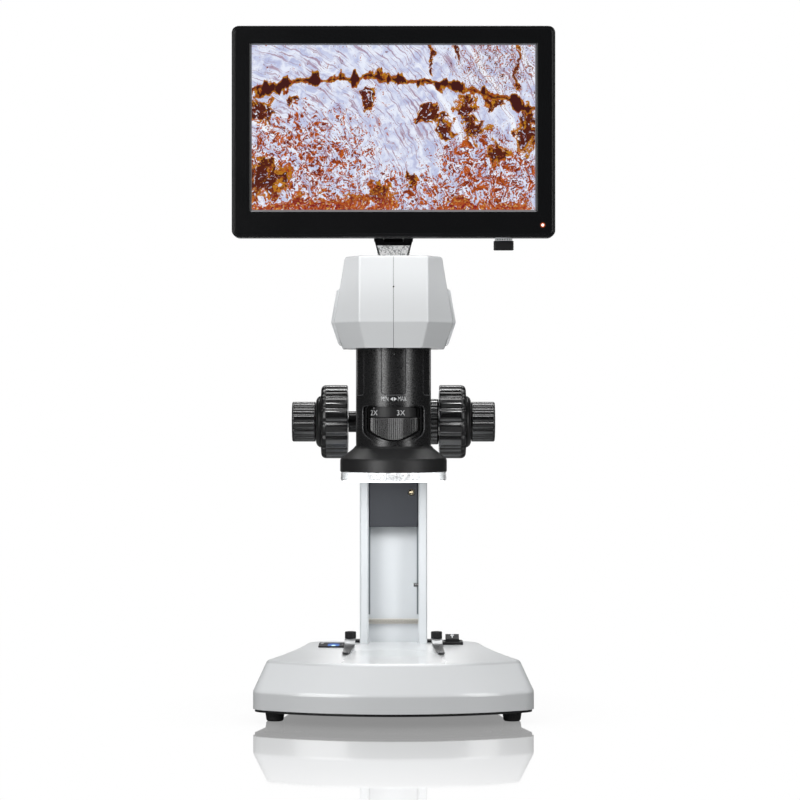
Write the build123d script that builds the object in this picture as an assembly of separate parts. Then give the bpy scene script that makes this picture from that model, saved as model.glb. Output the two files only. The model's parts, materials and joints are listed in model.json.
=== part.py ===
"""Digital microscope with a tilting display: base, pillar, focus drive, zoom optics, camera head and monitor.

Millimetres, +X to the user's right, +Y away from the user, +Z up. The origin is the centre of the footprint on
the table. Each named piece is written to parts/NAME.step.
"""

from build123d import *
import math
import os

# ---------------------------------------------------------------- clearances
RUN = 0.05            # radial clearance of a shaft in its bearing
FREE = 0.3            # gap between surfaces that pass each other
SEAT_GAP = 0.1        # gap round a piece that drops into its seat

# ---------------------------------------------------------------- base
BASE_WIDTH = 192.0
BASE_DEPTH = 202.0
BASE_REAR_WIDTH = 140.0
BASE_FRONT_Y = -104.8    # the front edge; the knobs overhang the rear one
FRONT_BOW = 31.0      # how far the front edge bows out before its corners
SIDE_WAIST = 3.0      # how far the sides are drawn in at mid length
FRONT_CORNER_R = 13.0
REAR_CORNER_R = 26.0
FOOT_HEIGHT = 7.2
FOOT_TOP_R = 6.8
FOOT_SOLE_R = 5.8
FRONT_FOOT_SIDE = 16.0   # in from the side
FRONT_FOOT_INSET = 43.8  # in from the front edge
REAR_FOOT_SIDE = 18.0
REAR_FOOT_INSET = 21.2   # in from the rear edge
PLATE_THICK = 1.8
PLATE_INSET = 1.2
HOUSING_HEIGHT = 32.3
BAND_HEIGHT = 12.0    # upright band round the foot of the housing
SIDE_SLOPE = 10.0     # how far the top stands in from the band
HOUSING_WALL = 3.0
TOP_EDGE_R = 3.0
BAND_EDGE_R = 5.0
BOSS_R = 4.0
SCREW_R = 1.5
SCREW_HEAD_R = 2.8
SCREW_HEAD_H = 1.0
SCREW_REACH = 14.0    # how far a screw goes up into its boss
SCREW_SLOT = 0.8
SCREW_SLOT_DEEP = 0.5
BOSS_ROOF = 4.0       # solid stretch of a boss over its screw hole
FRONT_SCREW_SIDE = 32.0
FRONT_SCREW_INSET = 42.8
REAR_SCREW_SIDE = 14.0
REAR_SCREW_INSET = 63.2

# ---------------------------------------------------------------- stage
OPTICAL_SETBACK = 94.0   # the upright optical axis stands this far behind the front edge
GLASS_R = 29.0
GLASS_THICK = 4.0
GLASS_LEDGE = 2.5
CUP_WALL = 2.0
CUP_DEPTH = 20.0
CUP_FLANGE = 6.0
CUP_FLANGE_THICK = 3.0
LAMP_BOARD_R = 20.0
BOARD_THICK = 1.6
LAMP_CHIP = 3.6
LAMP_CHIP_H = 1.2
LAMP_CHIPS = 6
LAMP_CHIP_PITCH_R = 11.0

# ---------------------------------------------------------------- stage clips
CLIP_OUT = 1.6        # a clip's post stands this far outside the glass
CLIP_BEHIND = 50.0    # and this far behind the optical axis
CLIP_POST_R = 2.0
CLIP_SHOULDER_R = 3.2
CLIP_SHOULDER_H = 5.0
CLIP_LEAF_THICK = 0.6
CLIP_LENGTH = 70.0
CLIP_FLAT = 5.0      # level stretch of the leaf next to its post
CLIP_DROP = 7.0       # length of the steep stretch that follows
CLIP_DROP_END = 1.3   # height over the tip where the steep stretch ends
CLIP_CURL = 6.0       # turned-up stretch at the leaf's tip
CLIP_CURL_RISE = 1.6
CLIP_ROOT_WIDTH = 7.8
CLIP_TIP_WIDTH = 4.4
CLIP_TOE_OUT = 2.1    # degrees
CLIP_PLAY = 0.1       # gap over and under the leaf, so that it turns
CLIP_CAP_R = 4.0
CLIP_CAP_H = 4.9

# ---------------------------------------------------------------- base electrics
PANEL_X = -43.8
PANEL_WIDTH = 19.2
PANEL_DEPTH = 32.0
PANEL_THICK = 1.0
PANEL_SETBACK = 52.0  # from the rear edge to the panel's middle
PANEL_ROUND = 2.0
SWITCH_X = 42.3
SWITCH_SETBACK = 35.5
SWITCH_WIDTH = 15.2
SWITCH_DEPTH = 21.0
SWITCH_RIM = 2.0      # height of the switch's bezel
SWITCH_SKIRT = 1.1    # the bezel's overhang past the switch body
ROCKER_WIDTH = 9.7
ROCKER_R = 7.2        # reach of the rocker's ends from its pivot
ROCKER_END_Z = 3.7    # height of the rocker's ends over its pivot, before it is tipped
ROCKER_DIP_Z = 1.8
ROCKER_TIP = 12.0     # degrees to either side
ROCKER_PIVOT_DROP = 0.4   # the pivot lies this far under the bezel's face
TRUNNION_R = 1.2
TRUNNION_LENGTH = 1.0
SWITCH_FLOOR = 1.5
DRIVER_WIDTH = 66.0
DRIVER_DEPTH = 42.0
DRIVER_SETBACK = 47.2
DRIVER_COIL_R = 5.0
DRIVER_COIL_H = 5.0
DRIVER_COIL_X = -18.0
DRIVER_CHIP = 10.0
DRIVER_CHIP_H = 1.5
DRIVER_PLUG_X = 20.0
DRIVER_PLUG_WIDTH = 12.0
DRIVER_PLUG_DEPTH = 6.0
DRIVER_PART_ROW = 8.0    # the coil and the plug stand this far off the board's middle
STANDOFF_INSET = 4.0
STANDOFF_R = 2.5
STANDOFF_H = 5.0
JACK_X = -28.0
JACK_WIDTH = 12.0
JACK_HEIGHT = 9.0
JACK_LENGTH = 14.0
JACK_BORE_R = 3.1
JACK_BORE_DEPTH = 10.0
JACK_PIN_R = 1.0

# ---------------------------------------------------------------- pillar
PILLAR_WIDTH = 48.5
PILLAR_SETBACK = 12.0 # from the rear edge of the base to the pillar's back
PILLAR_HEIGHT = 196.7
PILLAR_REAR_R = 6.0
PILLAR_CAP = 4.0
CHANNEL_WIDTH = 36.0
CHANNEL_DEPTH = 16.0
PILLAR_WEB = 2.0      # wall between the channel and the cable duct
DUCT_DEPTH = 4.0
PILLAR_BACK_WALL = 2.0
PILLAR_EDGE = 1.0
FOOT_BLOCK_SIDE = 4.4
FOOT_BLOCK_H = 1.7
FOOT_BLOCK_SETBACK = 10.0
BOLT_R = 2.0
BOLT_HEAD_R = 3.6
BOLT_HEAD_H = 3.0
BOLT_GRIP = 14.0
BOLT_INSET = 8.0      # from the pillar's front and back faces
BOLT_KEY_R = 1.8      # the hexagon socket in the bolt's head
BOLT_KEY_DEEP = 1.6
RAIL_WIDTH = 2.4
RAIL_STAND = 1.2      # how far a guide rail stands into the channel
RAIL_BED = 1.3        # how deep it is let into the wall
RAIL_SETBACK = 5.6
RAIL_FOOT = 20.7      # the rails start this far over the deck
RAIL_PLAY = 0.15
STOP_ROD_R = 1.85
STOP_ROD_RISE = 15.1
STOP_SCREW_R = 1.4
STOP_SCREW_RISE = 42.1
STOP_SCREW_END = 1.5  # wall left outside the stop screw
STOP_SCREW_STAND = 3.5
STOP_SCREW_SETBACK = 3.6

# ---------------------------------------------------------------- focus drive
MODULE = 0.6
PINION_TEETH = 18
PRESSURE = 20.0       # degrees
RACK_TEETH = 38
RACK_TEETH_BELOW = 14  # teeth under the shaft's height while the carriage is at rest
BACKLASH = 0.14
TOOTH_ROOT_GAP = 0.2
RACK_WIDTH = 8.0
RACK_BODY = 1.0
SHAFT_DROP = 37.0     # the shaft lies this far under the pillar's top
SHAFT_R = 4.0
FINE_SHAFT_R = 2.5
BUSH_R = 5.6
BUSH_FLANGE_R = 7.6
KNOB_GAP = 0.4        # play between a knob and what it turns against
COARSE_INNER_X = 33.0
COARSE_WIDTH = 19.4
COARSE_R = 27.0
COARSE_RIBS = 16
COARSE_RIB_DEPTH = 1.4
DISH_R = 18.7
DISH_WIDTH = 3.7
DISH_NOSE_R = 15.3
FINE_WIDTH = 16.9
FINE_R = 14.7
FINE_RIBS = 16
FINE_RIB_DEPTH = 0.9
TENSION_R = 16.6
TENSION_RIBS = 24
TENSION_RIB_DEPTH = 0.8

# ---------------------------------------------------------------- carriage
CARRIAGE_WIDTH = 34.9
CARRIAGE_THICK = 8.0
CARRIAGE_SETBACK = 1.5
CARRIAGE_HEIGHT = 124.7
CARRIAGE_OVER_ARM = 6.0  # the slide stands this far over the arm
CARRIAGE_EDGE = 0.6
LOCK_SCREW_R = 1.6
LOCK_SCREW_X = 12.8
LOCK_SCREW_RISE = 24.9
LOCK_HEAD_R = 2.4
LOCK_SLOT = 0.7
LOCK_SLOT_DEEP = 0.3
LOCK_SCREW_DEPTH = 5.0
ARM_WIDTH = 28.0
ARM_RISE = 13.3       # the arm's underside lies this far over the barrel's lower edge
ARM_HEIGHT = 46.0
ARM_WALL = 3.0

# ---------------------------------------------------------------- optics
BARREL_R = 26.0
BARREL_WALL = 2.4
BARREL_LENGTH = 67.3  # from its lower edge to the head
PANEL_COUNT = 5       # shallow upright panels round the barrel
PANEL_HALF_WIDTH = 8.9
PANEL_SINK = 0.4
PANEL_RISE = 35.2
PANEL_CORNER_R = 2.5
WINDOW_WIDTH = 36.4
WINDOW_RISE = 3.8
WINDOW_HEIGHT = 23.5
WINDOW_BULGE = 7.0    # how far the window's lower edge curves down
WINDOW_SCOOP = 3.4    # width of the finger scoop round the window
WINDOW_SCOOP_DEPTH = 1.5
WINDOW_TOP_R = 2.0
WINDOW_LOW_R = 3.0
ZOOM_RING_WALL = 3.6
ZOOM_RING_RISE = 1.8
ZOOM_RING_HEIGHT = 27.0
ZOOM_GRIP_HEIGHT = 17.7  # the ribbed grip; a smooth scale band lies above it
ZOOM_RIBS = 72
ZOOM_RIB_DEPTH = 0.5
BELL_R = 37.0
WORKING_HEIGHT = 125.5   # from the deck to the bell's lower edge
BELL_HEIGHT = 17.9
BELL_RIM_H = 9.4
BELL_WALL = 2.4
TUBE_R = 18.5
TUBE_WALL = 1.5
TUBE_STAND = 5.3      # the tube reaches this far under the bell
LENS_THICK = 5.0
LENS_BULGE = 1.6
LENS_SETBACK = 2.0
ZOOM_CELL_RISE = 37.3
ZOOM_CELL_H = 14.0
ZOOM_CELL_WALL = 2.6
ZOOM_CELL_LAND = 3.0  # height of its two bearing rims
ZOOM_LENS_THICK = 4.0
RING_COVER_R = 36.7
RING_COVER_H = 6.6
RING_COVER_WALL = 1.4
RING_COVER_EDGE_R = 2.4
RING_LEDS = 24
RING_LED_SIZE = 3.0
RING_LED_H = 1.4
RING_LED_PITCH_R = 28.0

# ---------------------------------------------------------------- camera head
HEAD_WAIST_RISE = 17.7   # from the head's underside to its widest edge
HEAD_HEIGHT = 62.7
HEAD_HALF_WIDTH = 40.6
HEAD_HALF_DEPTH = 44.0
HEAD_FACE_HALF = 23.3     # half width of the flat front and rear faces
HEAD_TOP_TAPER = 7.4      # how far the sides lean in towards the top
HEAD_TOP_LEAN = 2.5       # how far the front leans in towards the top
HEAD_CHIN = 5.6           # how far the lower facets draw in
HEAD_FACET = 18.0         # depth of the slanting corner facets
HEAD_WALL = 2.4
HEAD_SEAM = 0.3
HEAD_EDGE_R = 2.2
SIDE_CAP_STAND = 2.2
SIDE_CAP_RISE = 23.3  # from the widest edge to the cap's top
SIDE_CAP_FOOT = 2.0
SIDE_CAP_DEPTH = 46.0
SIDE_VENTS = 5
SIDE_VENT_WIDTH = 1.6
SIDE_VENT_SINK = 1.0
SIDE_VENT_MARGIN = 4.0
CAMERA_BOARD = 38.0
SENSOR = 9.0
SENSOR_H = 1.2
PROCESSOR = 14.0
PROCESSOR_H = 1.4
CAMERA_SOCKET_WIDTH = 20.0
CAMERA_SOCKET_DEPTH = 5.0
CAMERA_SOCKET_H = 3.0
CAMERA_SOCKET_INSET = 3.0
MOUNT_PLATE_R = 30.0
MOUNT_PLATE_H = 3.0
POST_R = 2.0
CAMERA_POST_H = 6.0
CAMERA_POST_X = 16.0

# ---------------------------------------------------------------- neck
NECK_BEHIND = 14.0    # the neck stands this far behind the optical axis
NECK_FOOT_HALF = 9.6
NECK_SHOULDER_HALF = 13.6
NECK_DEPTH = 12.0
HINGE_RISE = 4.4      # the hinge lies this far over the monitor's lower edge
HINGE_R = 5.8
HINGE_PIN_R = 1.8
KNUCKLE_HALF = 6.6
SWIVEL_R = 6.0
SWIVEL_NUT_R = 9.0
SWIVEL_NUT_H = 3.0
NECK_PLATE_THICK = 0.8
NECK_PLATE_H = 8.9
NECK_PLATE_INSET = 1.0
NECK_PLATE_RISE = 0.4

# ---------------------------------------------------------------- monitor
MONITOR_WIDTH = 222.8
MONITOR_HEIGHT = 145.6
MONITOR_RISE = 13.9   # from the head's top to the monitor's lower edge
HINGE_BEHIND = 9.0    # the hinge lies this far behind the monitor's back
MONITOR_THICK = 20.0
MONITOR_CORNER_R = 5.0
BEZEL_DEPTH = 9.0
BEZEL_WALL = 2.4
BEZEL_EDGE = 1.6
SCREEN_SIDE_BORDER = 13.9    # from the monitor's edges to the picture
SCREEN_TOP_BORDER = 13.3
SCREEN_LOW_BORDER = 18.9
SCREEN_BEVEL = 2.0    # sloping border between the bezel's face and the picture
SCREEN_SINK = 1.6
LCD_MARGIN = 5.0
LCD_THICK = 5.0
SCREEN_GLASS = 0.5
BACK_EDGE = 4.0
VENT_COUNT = 14
VENT_WIDTH = 1.8
VENT_LENGTH = 22.0
VENT_PITCH = 4.6
VENT_DROP = 34.2      # the vents' middle lies this far under the monitor's top
HINGE_LEAF_WIDTH = 44.0
HINGE_LEAF_HEIGHT = 26.0
HINGE_LEAF_THICK = 2.0
HINGE_LEAF_ROUND = 3.0
HINGE_LEAF_GAP = 1.0  # between the knuckle and the leaf's lower edge
HINGE_WEB_RISE = 14.0 # how far the web runs up the leaf
HINGE_WEB_HALF = 1.0
HINGE_WEB_BACK = 0.4
USB_INSET = 35.2      # in from the monitor's right edge
USB_CUT_HEIGHT = 6.0  # how far up the socket's gap is cut through the shells
USB_PLUG_WIDTH = 12.0
USB_PLUG_THICK = 4.5
USB_PLUG_LENGTH = 12.0
USB_PLUG_BARE = 2.0   # bare metal that shows between the monitor and the stick's grip
USB_GRIP_WIDTH = 14.0
USB_GRIP_THICK = 7.0
USB_GRIP_H = 6.4
USB_PORT_WALL = 0.8
BUTTON_INSET = 51.4   # the buttons' middle, in from the monitor's right edge
BUTTON_DROP = 29.2    # and under its top
BUTTON_PITCH = 12.0
BUTTON_R = 3.5
BUTTON_STAND = 1.2
BUTTON_FLANGE = 1.0
BUTTON_TRAVEL = 0.8
BUTTON_NAMES = ("power", "menu", "down", "up")
LAMP_INSET = 8.7      # the power lamp, in from the monitor's right edge
LAMP_RISE = 8.3       # its height over the monitor's lower edge
LAMP_R = 0.9
LAMP_LENGTH = 4.0
DISPLAY_BOARD_WIDTH = 110.0
DISPLAY_BOARD_HEIGHT = 70.0
DISPLAY_BOARD_EDGE = 10.0    # the board reaches this far past the USB socket
DISPLAY_BOARD_FOOT = 3.0     # height of its lower edge over the monitor's

# ---------------------------------------------------------------- places worked out from the sizes
PLATE_Z = FOOT_HEIGHT
HOUSING_Z = PLATE_Z + PLATE_THICK
BAND_Z = HOUSING_Z + BAND_HEIGHT
DECK_Z = HOUSING_Z + HOUSING_HEIGHT          # top face of the base
REAR_Y = BASE_FRONT_Y + BASE_DEPTH
OPTICAL_Y = BASE_FRONT_Y + OPTICAL_SETBACK
CLIP_X = GLASS_R + CLIP_OUT
CLIP_Y = OPTICAL_Y + CLIP_BEHIND
FRONT_FOOT_X = BASE_WIDTH / 2 - FRONT_FOOT_SIDE
FRONT_FOOT_Y = BASE_FRONT_Y + FRONT_FOOT_INSET
REAR_FOOT_X = BASE_REAR_WIDTH / 2 - REAR_FOOT_SIDE
REAR_FOOT_Y = REAR_Y - REAR_FOOT_INSET
FRONT_SCREW_X = BASE_WIDTH / 2 - FRONT_SCREW_SIDE
FRONT_SCREW_Y = BASE_FRONT_Y + FRONT_SCREW_INSET
REAR_SCREW_X = BASE_REAR_WIDTH / 2 - REAR_SCREW_SIDE
REAR_SCREW_Y = REAR_Y - REAR_SCREW_INSET
PANEL_Y = REAR_Y - PANEL_SETBACK
SWITCH_Y = REAR_Y - SWITCH_SETBACK
DRIVER_Y = REAR_Y - DRIVER_SETBACK
PILLAR_BACK = REAR_Y - PILLAR_SETBACK
PILLAR_FRONT = PILLAR_BACK - CHANNEL_DEPTH - PILLAR_WEB - DUCT_DEPTH - PILLAR_BACK_WALL
PILLAR_TOP = DECK_Z + PILLAR_HEIGHT
CHANNEL_BACK = PILLAR_FRONT + CHANNEL_DEPTH
DUCT_FRONT = CHANNEL_BACK + PILLAR_WEB
DUCT_BACK = DUCT_FRONT + DUCT_DEPTH
RAIL_BOTTOM = DECK_Z + RAIL_FOOT
STOP_ROD_Z = DECK_Z + STOP_ROD_RISE
STOP_SCREW_Z = DECK_Z + STOP_SCREW_RISE
CARRIAGE_FRONT = PILLAR_FRONT + CARRIAGE_SETBACK
CARRIAGE_BACK = CARRIAGE_FRONT + CARRIAGE_THICK
PITCH_R = MODULE * PINION_TEETH / 2
RACK_ROOT_Y = CARRIAGE_BACK + RACK_BODY
RACK_PITCH_Y = RACK_ROOT_Y + MODULE + TOOTH_ROOT_GAP
SHAFT_Y = RACK_PITCH_Y + PITCH_R
SHAFT_Z = PILLAR_TOP - SHAFT_DROP
BELL_BOTTOM = DECK_Z + WORKING_HEIGHT
BARREL_BOTTOM = BELL_BOTTOM + BELL_HEIGHT
TUBE_BOTTOM = BELL_BOTTOM - TUBE_STAND
WINDOW_BOTTOM = BARREL_BOTTOM + WINDOW_RISE
WINDOW_TOP = WINDOW_BOTTOM + WINDOW_HEIGHT
ZOOM_RING_BOTTOM = BARREL_BOTTOM + ZOOM_RING_RISE
ZOOM_SCALE_BOTTOM = ZOOM_RING_BOTTOM + ZOOM_GRIP_HEIGHT
ZOOM_RING_TOP = ZOOM_RING_BOTTOM + ZOOM_RING_HEIGHT
PANEL_BOTTOM = BARREL_BOTTOM + PANEL_RISE
ZOOM_CELL_Z = BARREL_BOTTOM + ZOOM_CELL_RISE
ARM_BOTTOM = BARREL_BOTTOM + ARM_RISE
ARM_TOP = ARM_BOTTOM + ARM_HEIGHT
CARRIAGE_TOP = ARM_TOP + CARRIAGE_OVER_ARM
CARRIAGE_BOTTOM = CARRIAGE_TOP - CARRIAGE_HEIGHT
LOCK_SCREW_Z = CARRIAGE_BOTTOM + LOCK_SCREW_RISE
HEAD_BOTTOM = BARREL_BOTTOM + BARREL_LENGTH
HEAD_WAIST = HEAD_BOTTOM + HEAD_WAIST_RISE
HEAD_TOP = HEAD_BOTTOM + HEAD_HEIGHT
SIDE_CAP_TOP = HEAD_WAIST + SIDE_CAP_RISE
COARSE_OUTER_X = COARSE_INNER_X + COARSE_WIDTH
FINE_INNER_X = COARSE_OUTER_X + DISH_WIDTH + KNOB_GAP
FINE_OUTER_X = FINE_INNER_X + FINE_WIDTH
ZOOM_RING_R = BARREL_R - BARREL_WALL - FREE
MOUNT_PLATE_Z = HEAD_BOTTOM + HEAD_WALL
NECK_Y = OPTICAL_Y + NECK_BEHIND
NECK_FOOT_Z = HEAD_TOP + FREE
MONITOR_BOTTOM = HEAD_TOP + MONITOR_RISE
MONITOR_TOP = MONITOR_BOTTOM + MONITOR_HEIGHT
HINGE_Z = MONITOR_BOTTOM + HINGE_RISE
MONITOR_BACK = NECK_Y - HINGE_BEHIND
MONITOR_FRONT = MONITOR_BACK - MONITOR_THICK
MONITOR_MID_Z = MONITOR_BOTTOM + MONITOR_HEIGHT / 2
SCREEN_WIDTH = MONITOR_WIDTH - 2 * SCREEN_SIDE_BORDER
SCREEN_HEIGHT = MONITOR_HEIGHT - SCREEN_TOP_BORDER - SCREEN_LOW_BORDER
SCREEN_Z = MONITOR_BOTTOM + SCREEN_LOW_BORDER + SCREEN_HEIGHT / 2
USB_X = MONITOR_WIDTH / 2 - USB_INSET
BUTTON_X = MONITOR_WIDTH / 2 - BUTTON_INSET
BUTTON_Z = MONITOR_TOP - BUTTON_DROP
VENT_Z = MONITOR_TOP - VENT_DROP
LAMP_X = MONITOR_WIDTH / 2 - LAMP_INSET
LCD_FRONT = MONITOR_FRONT + SCREEN_SINK + SCREEN_GLASS
LCD_BACK = LCD_FRONT + LCD_THICK
BOARD_BACK = LCD_BACK + BOARD_THICK
USB_Y = BOARD_BACK + USB_PLUG_THICK / 2 + SEAT_GAP + USB_PORT_WALL
SIDES = ((-1, "left"), (1, "right"))


# ---------------------------------------------------------------- small helpers
def block(x, y, z):
    """A box between three (low, high) pairs."""
    size = Box(x[1] - x[0], y[1] - y[0], z[1] - z[0])
    return Pos((x[0] + x[1]) / 2, (y[0] + y[1]) / 2, (z[0] + z[1]) / 2) * size


def rod_z(radius, z, x=0.0, y=0.0):
    """An upright cylinder from z[0] to z[1]."""
    return Pos(x, y, (z[0] + z[1]) / 2) * Cylinder(radius, z[1] - z[0])


def rod_x(radius, x, y, z):
    """A cylinder along X from x[0] to x[1]."""
    return Pos((x[0] + x[1]) / 2, y, z) * (Rot(0, 90, 0) * Cylinder(radius, x[1] - x[0]))


def rod_y(radius, y, x, z):
    """A cylinder along Y from y[0] to y[1]."""
    return Pos(x, (y[0] + y[1]) / 2, z) * (Rot(90, 0, 0) * Cylinder(radius, y[1] - y[0]))


def polygon_prism(points, plane, depth):
    """The prism over a polygon drawn on a plane, carried along the plane's normal by depth."""
    wire = Polyline(*points, close=True)
    return extrude(plane * make_face(wire), depth, dir=plane.z_dir)


def turned(points, axis):
    """The solid that a half profile of (radius, height) points makes when it turns about an upright axis."""
    wire = Polyline(*[(r, 0, z) for r, z in points], close=True)
    return Pos(axis[0], axis[1], 0) * revolve(make_face(wire), Axis.Z)


def ribbed_disc(radius, depth, count, height):
    """A disc with count round-backed ribs, on the XY plane from 0 to height. depth is the rib's height."""
    step = 2 * math.pi / count
    root = radius - depth

    def at(r, angle):
        return (r * math.cos(angle), r * math.sin(angle))

    edges = []
    for i in range(count):
        start = i * step
        land = (start + 0.12 * step, start + 0.68 * step)
        dip = (land[1], start + 1.12 * step)
        low = radius - 0.3 * depth
        edges.append(ThreePointArc(at(low, land[0]), at(radius, sum(land) / 2), at(low, land[1])))
        edges.append(ThreePointArc(at(low, dip[0]), at(root, sum(dip) / 2), at(low, dip[1])))
    return extrude(make_face(Wire(edges)), height)


def spread(count, radius, y):
    """count places evenly round an upright axis at (0, y), as (x, y, degrees)."""
    places = []
    for i in range(count):
        angle = 360.0 * i / count
        turn = math.radians(angle)
        places.append((radius * math.cos(turn), y + radius * math.sin(turn), angle))
    return places


# ---------------------------------------------------------------- base
def base_plan(inset):
    """The base seen from above: a bowed front, waisted sides and a straight rear, all moved in by inset."""
    front_half = BASE_WIDTH / 2 - inset
    rear_half = BASE_REAR_WIDTH / 2 - inset
    front_y = BASE_FRONT_Y + inset
    corner_y = front_y + FRONT_BOW
    rear_y = REAR_Y - inset
    waist_x = (front_half + rear_half) / 2 - SIDE_WAIST
    waist_y = (corner_y + rear_y) / 2
    outline = [
        ThreePointArc((-front_half, corner_y), (0, front_y), (front_half, corner_y)),
        ThreePointArc((front_half, corner_y), (waist_x, waist_y), (rear_half, rear_y)),
        Line((rear_half, rear_y), (-rear_half, rear_y)),
        ThreePointArc((-rear_half, rear_y), (-waist_x, waist_y), (-front_half, corner_y)),
    ]
    plan = make_face(Wire(outline))
    corners = plan.vertices().sort_by(Axis.Y)
    plan = fillet(corners[:2], FRONT_CORNER_R - 0.5 * inset)
    corners = plan.vertices().sort_by(Axis.Y)
    return fillet(corners[-2:], REAR_CORNER_R - 0.5 * inset)


def base_form(inset, bottom, top):
    """The solid base form between two heights: an upright band, then sides that lean in to the deck."""
    lean = SIDE_SLOPE * (top - BAND_Z) / (DECK_Z - BAND_Z)
    band = extrude(Pos(0, 0, bottom) * base_plan(inset), BAND_Z - bottom)
    sections = [Pos(0, 0, BAND_Z) * base_plan(inset), Pos(0, 0, top) * base_plan(inset + lean)]
    return band + loft(sections, ruled=True)


def screw_spots():
    """Where the four screws hold the base plate."""
    for sign, _ in SIDES:
        yield sign * FRONT_SCREW_X, FRONT_SCREW_Y
        yield sign * REAR_SCREW_X, REAR_SCREW_Y


def bolt_spots():
    """Where bolts come up into the pillar's walls."""
    wall_mid = (PILLAR_WIDTH + CHANNEL_WIDTH) / 4
    for sign, _ in SIDES:
        yield sign * wall_mid, PILLAR_FRONT + BOLT_INSET
        yield sign * wall_mid, PILLAR_BACK - BOLT_INSET


def switch_body(z):
    """The switch's lower body as a block between two heights."""
    half_width = SWITCH_WIDTH / 2 - SWITCH_SKIRT
    half_depth = SWITCH_DEPTH / 2 - SWITCH_SKIRT
    return block(
        (SWITCH_X - half_width, SWITCH_X + half_width), (SWITCH_Y - half_depth, SWITCH_Y + half_depth), z
    )


def switch_pivot_z():
    return DECK_Z + SWITCH_RIM - ROCKER_PIVOT_DROP


def switch_bottom_z():
    return switch_pivot_z() - ROCKER_R - FREE - SWITCH_FLOOR


def jack_block(length, extra=0.0):
    """The power inlet's outline, running in from the rear face."""
    half = JACK_WIDTH / 2 + extra
    mid = HOUSING_Z + BAND_HEIGHT / 2
    tall = JACK_HEIGHT / 2 + extra
    return block((JACK_X - half, JACK_X + half), (REAR_Y - length, REAR_Y), (mid - tall, mid + tall))


def base_housing():
    shell = base_form(0.0, HOUSING_Z, DECK_Z)
    rim = shell.faces().sort_by(Axis.Z)[-1].edges()
    shell = fillet(rim, TOP_EDGE_R)
    crease = [e for e in shell.edges() if abs(e.center().Z - BAND_Z) < 0.01 and e.length > 1.0]
    shell = fillet(crease, BAND_EDGE_R)
    deck_under = DECK_Z - HOUSING_WALL
    shell -= base_form(HOUSING_WALL, HOUSING_Z, deck_under)
    for x, y in screw_spots():
        shell += rod_z(BOSS_R, (HOUSING_Z, deck_under + 0.5), x, y)
        shell -= rod_z(SCREW_R + RUN, (HOUSING_Z, deck_under - BOSS_ROOF), x, y)
    shell -= rod_z(GLASS_R + SEAT_GAP, (deck_under - 1.0, DECK_Z + 1.0), 0, OPTICAL_Y)
    shell -= switch_body((deck_under - 1.0, DECK_Z + 1.0))
    for x, y in bolt_spots():
        shell -= rod_z(BOLT_R + SEAT_GAP, (deck_under - 1.0, DECK_Z + 1.0), x, y)
    shell -= jack_block(HOUSING_WALL + 2.0)
    for sign, _ in SIDES:
        x = sign * CLIP_X
        shoulder_top = DECK_Z + CLIP_SHOULDER_H
        shell += rod_z(CLIP_SHOULDER_R, (deck_under, shoulder_top), x, CLIP_Y)
        shell += rod_z(CLIP_POST_R, (shoulder_top - 1.0, clip_cap_z() + CLIP_CAP_H - 1.5), x, CLIP_Y)
    return shell


def base_plate():
    plate = extrude(Pos(0, 0, PLATE_Z) * base_plan(PLATE_INSET), PLATE_THICK)
    for x, y in screw_spots():
        plate -= rod_z(SCREW_R + SEAT_GAP, (PLATE_Z - 1, HOUSING_Z + 1), x, y)
        plate -= rod_z(SCREW_HEAD_R + SEAT_GAP, (PLATE_Z - 1, PLATE_Z + SCREW_HEAD_H), x, y)
    for x, y in standoff_spots():
        plate += rod_z(STANDOFF_R, (HOUSING_Z, HOUSING_Z + STANDOFF_H), x, y)
    return plate


def standoff_spots():
    for sign, _ in SIDES:
        for end in (-1, 1):
            yield sign * (DRIVER_WIDTH / 2 - STANDOFF_INSET), DRIVER_Y + end * (DRIVER_DEPTH / 2 - STANDOFF_INSET)


def rubber_feet():
    feet = []
    sole = turned([(0, 0), (FOOT_SOLE_R - 0.8, 0), (FOOT_SOLE_R, 0.8), (FOOT_TOP_R, PLATE_Z), (0, PLATE_Z)], (0, 0))
    for sign, _ in SIDES:
        feet.append(Pos(sign * FRONT_FOOT_X, FRONT_FOOT_Y, 0) * sole)
        feet.append(Pos(sign * REAR_FOOT_X, REAR_FOOT_Y, 0) * sole)
    return feet


def base_screws():
    screws = []
    for x, y in screw_spots():
        head = rod_z(SCREW_HEAD_R, (PLATE_Z, PLATE_Z + SCREW_HEAD_H), x, y)
        shank = rod_z(SCREW_R, (PLATE_Z, HOUSING_Z + SCREW_REACH), x, y)
        slot = block((x - SCREW_HEAD_R, x + SCREW_HEAD_R), (y - SCREW_SLOT / 2, y + SCREW_SLOT / 2),
                     (PLATE_Z - 1, PLATE_Z + SCREW_SLOT_DEEP))
        screws.append(head + shank - slot)
    return screws


# ---------------------------------------------------------------- stage and its lamp
def stage_glass():
    disc = rod_z(GLASS_R, (DECK_Z - GLASS_THICK, DECK_Z), 0, OPTICAL_Y)
    return chamfer(disc.edges(), 0.4)


def cup_floor_z():
    return DECK_Z - GLASS_THICK - CUP_DEPTH


def stage_cup():
    ledge = DECK_Z - GLASS_THICK
    under = DECK_Z - HOUSING_WALL
    bore = GLASS_R - GLASS_LEDGE
    cup = rod_z(GLASS_R + CUP_FLANGE, (under - CUP_FLANGE_THICK, under), 0, OPTICAL_Y)
    cup += rod_z(bore + CUP_WALL, (cup_floor_z() - CUP_WALL, under - 0.5), 0, OPTICAL_Y)
    cup -= rod_z(GLASS_R + SEAT_GAP, (ledge, under + 1), 0, OPTICAL_Y)
    return cup - rod_z(bore, (cup_floor_z(), ledge + 1), 0, OPTICAL_Y)


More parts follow.
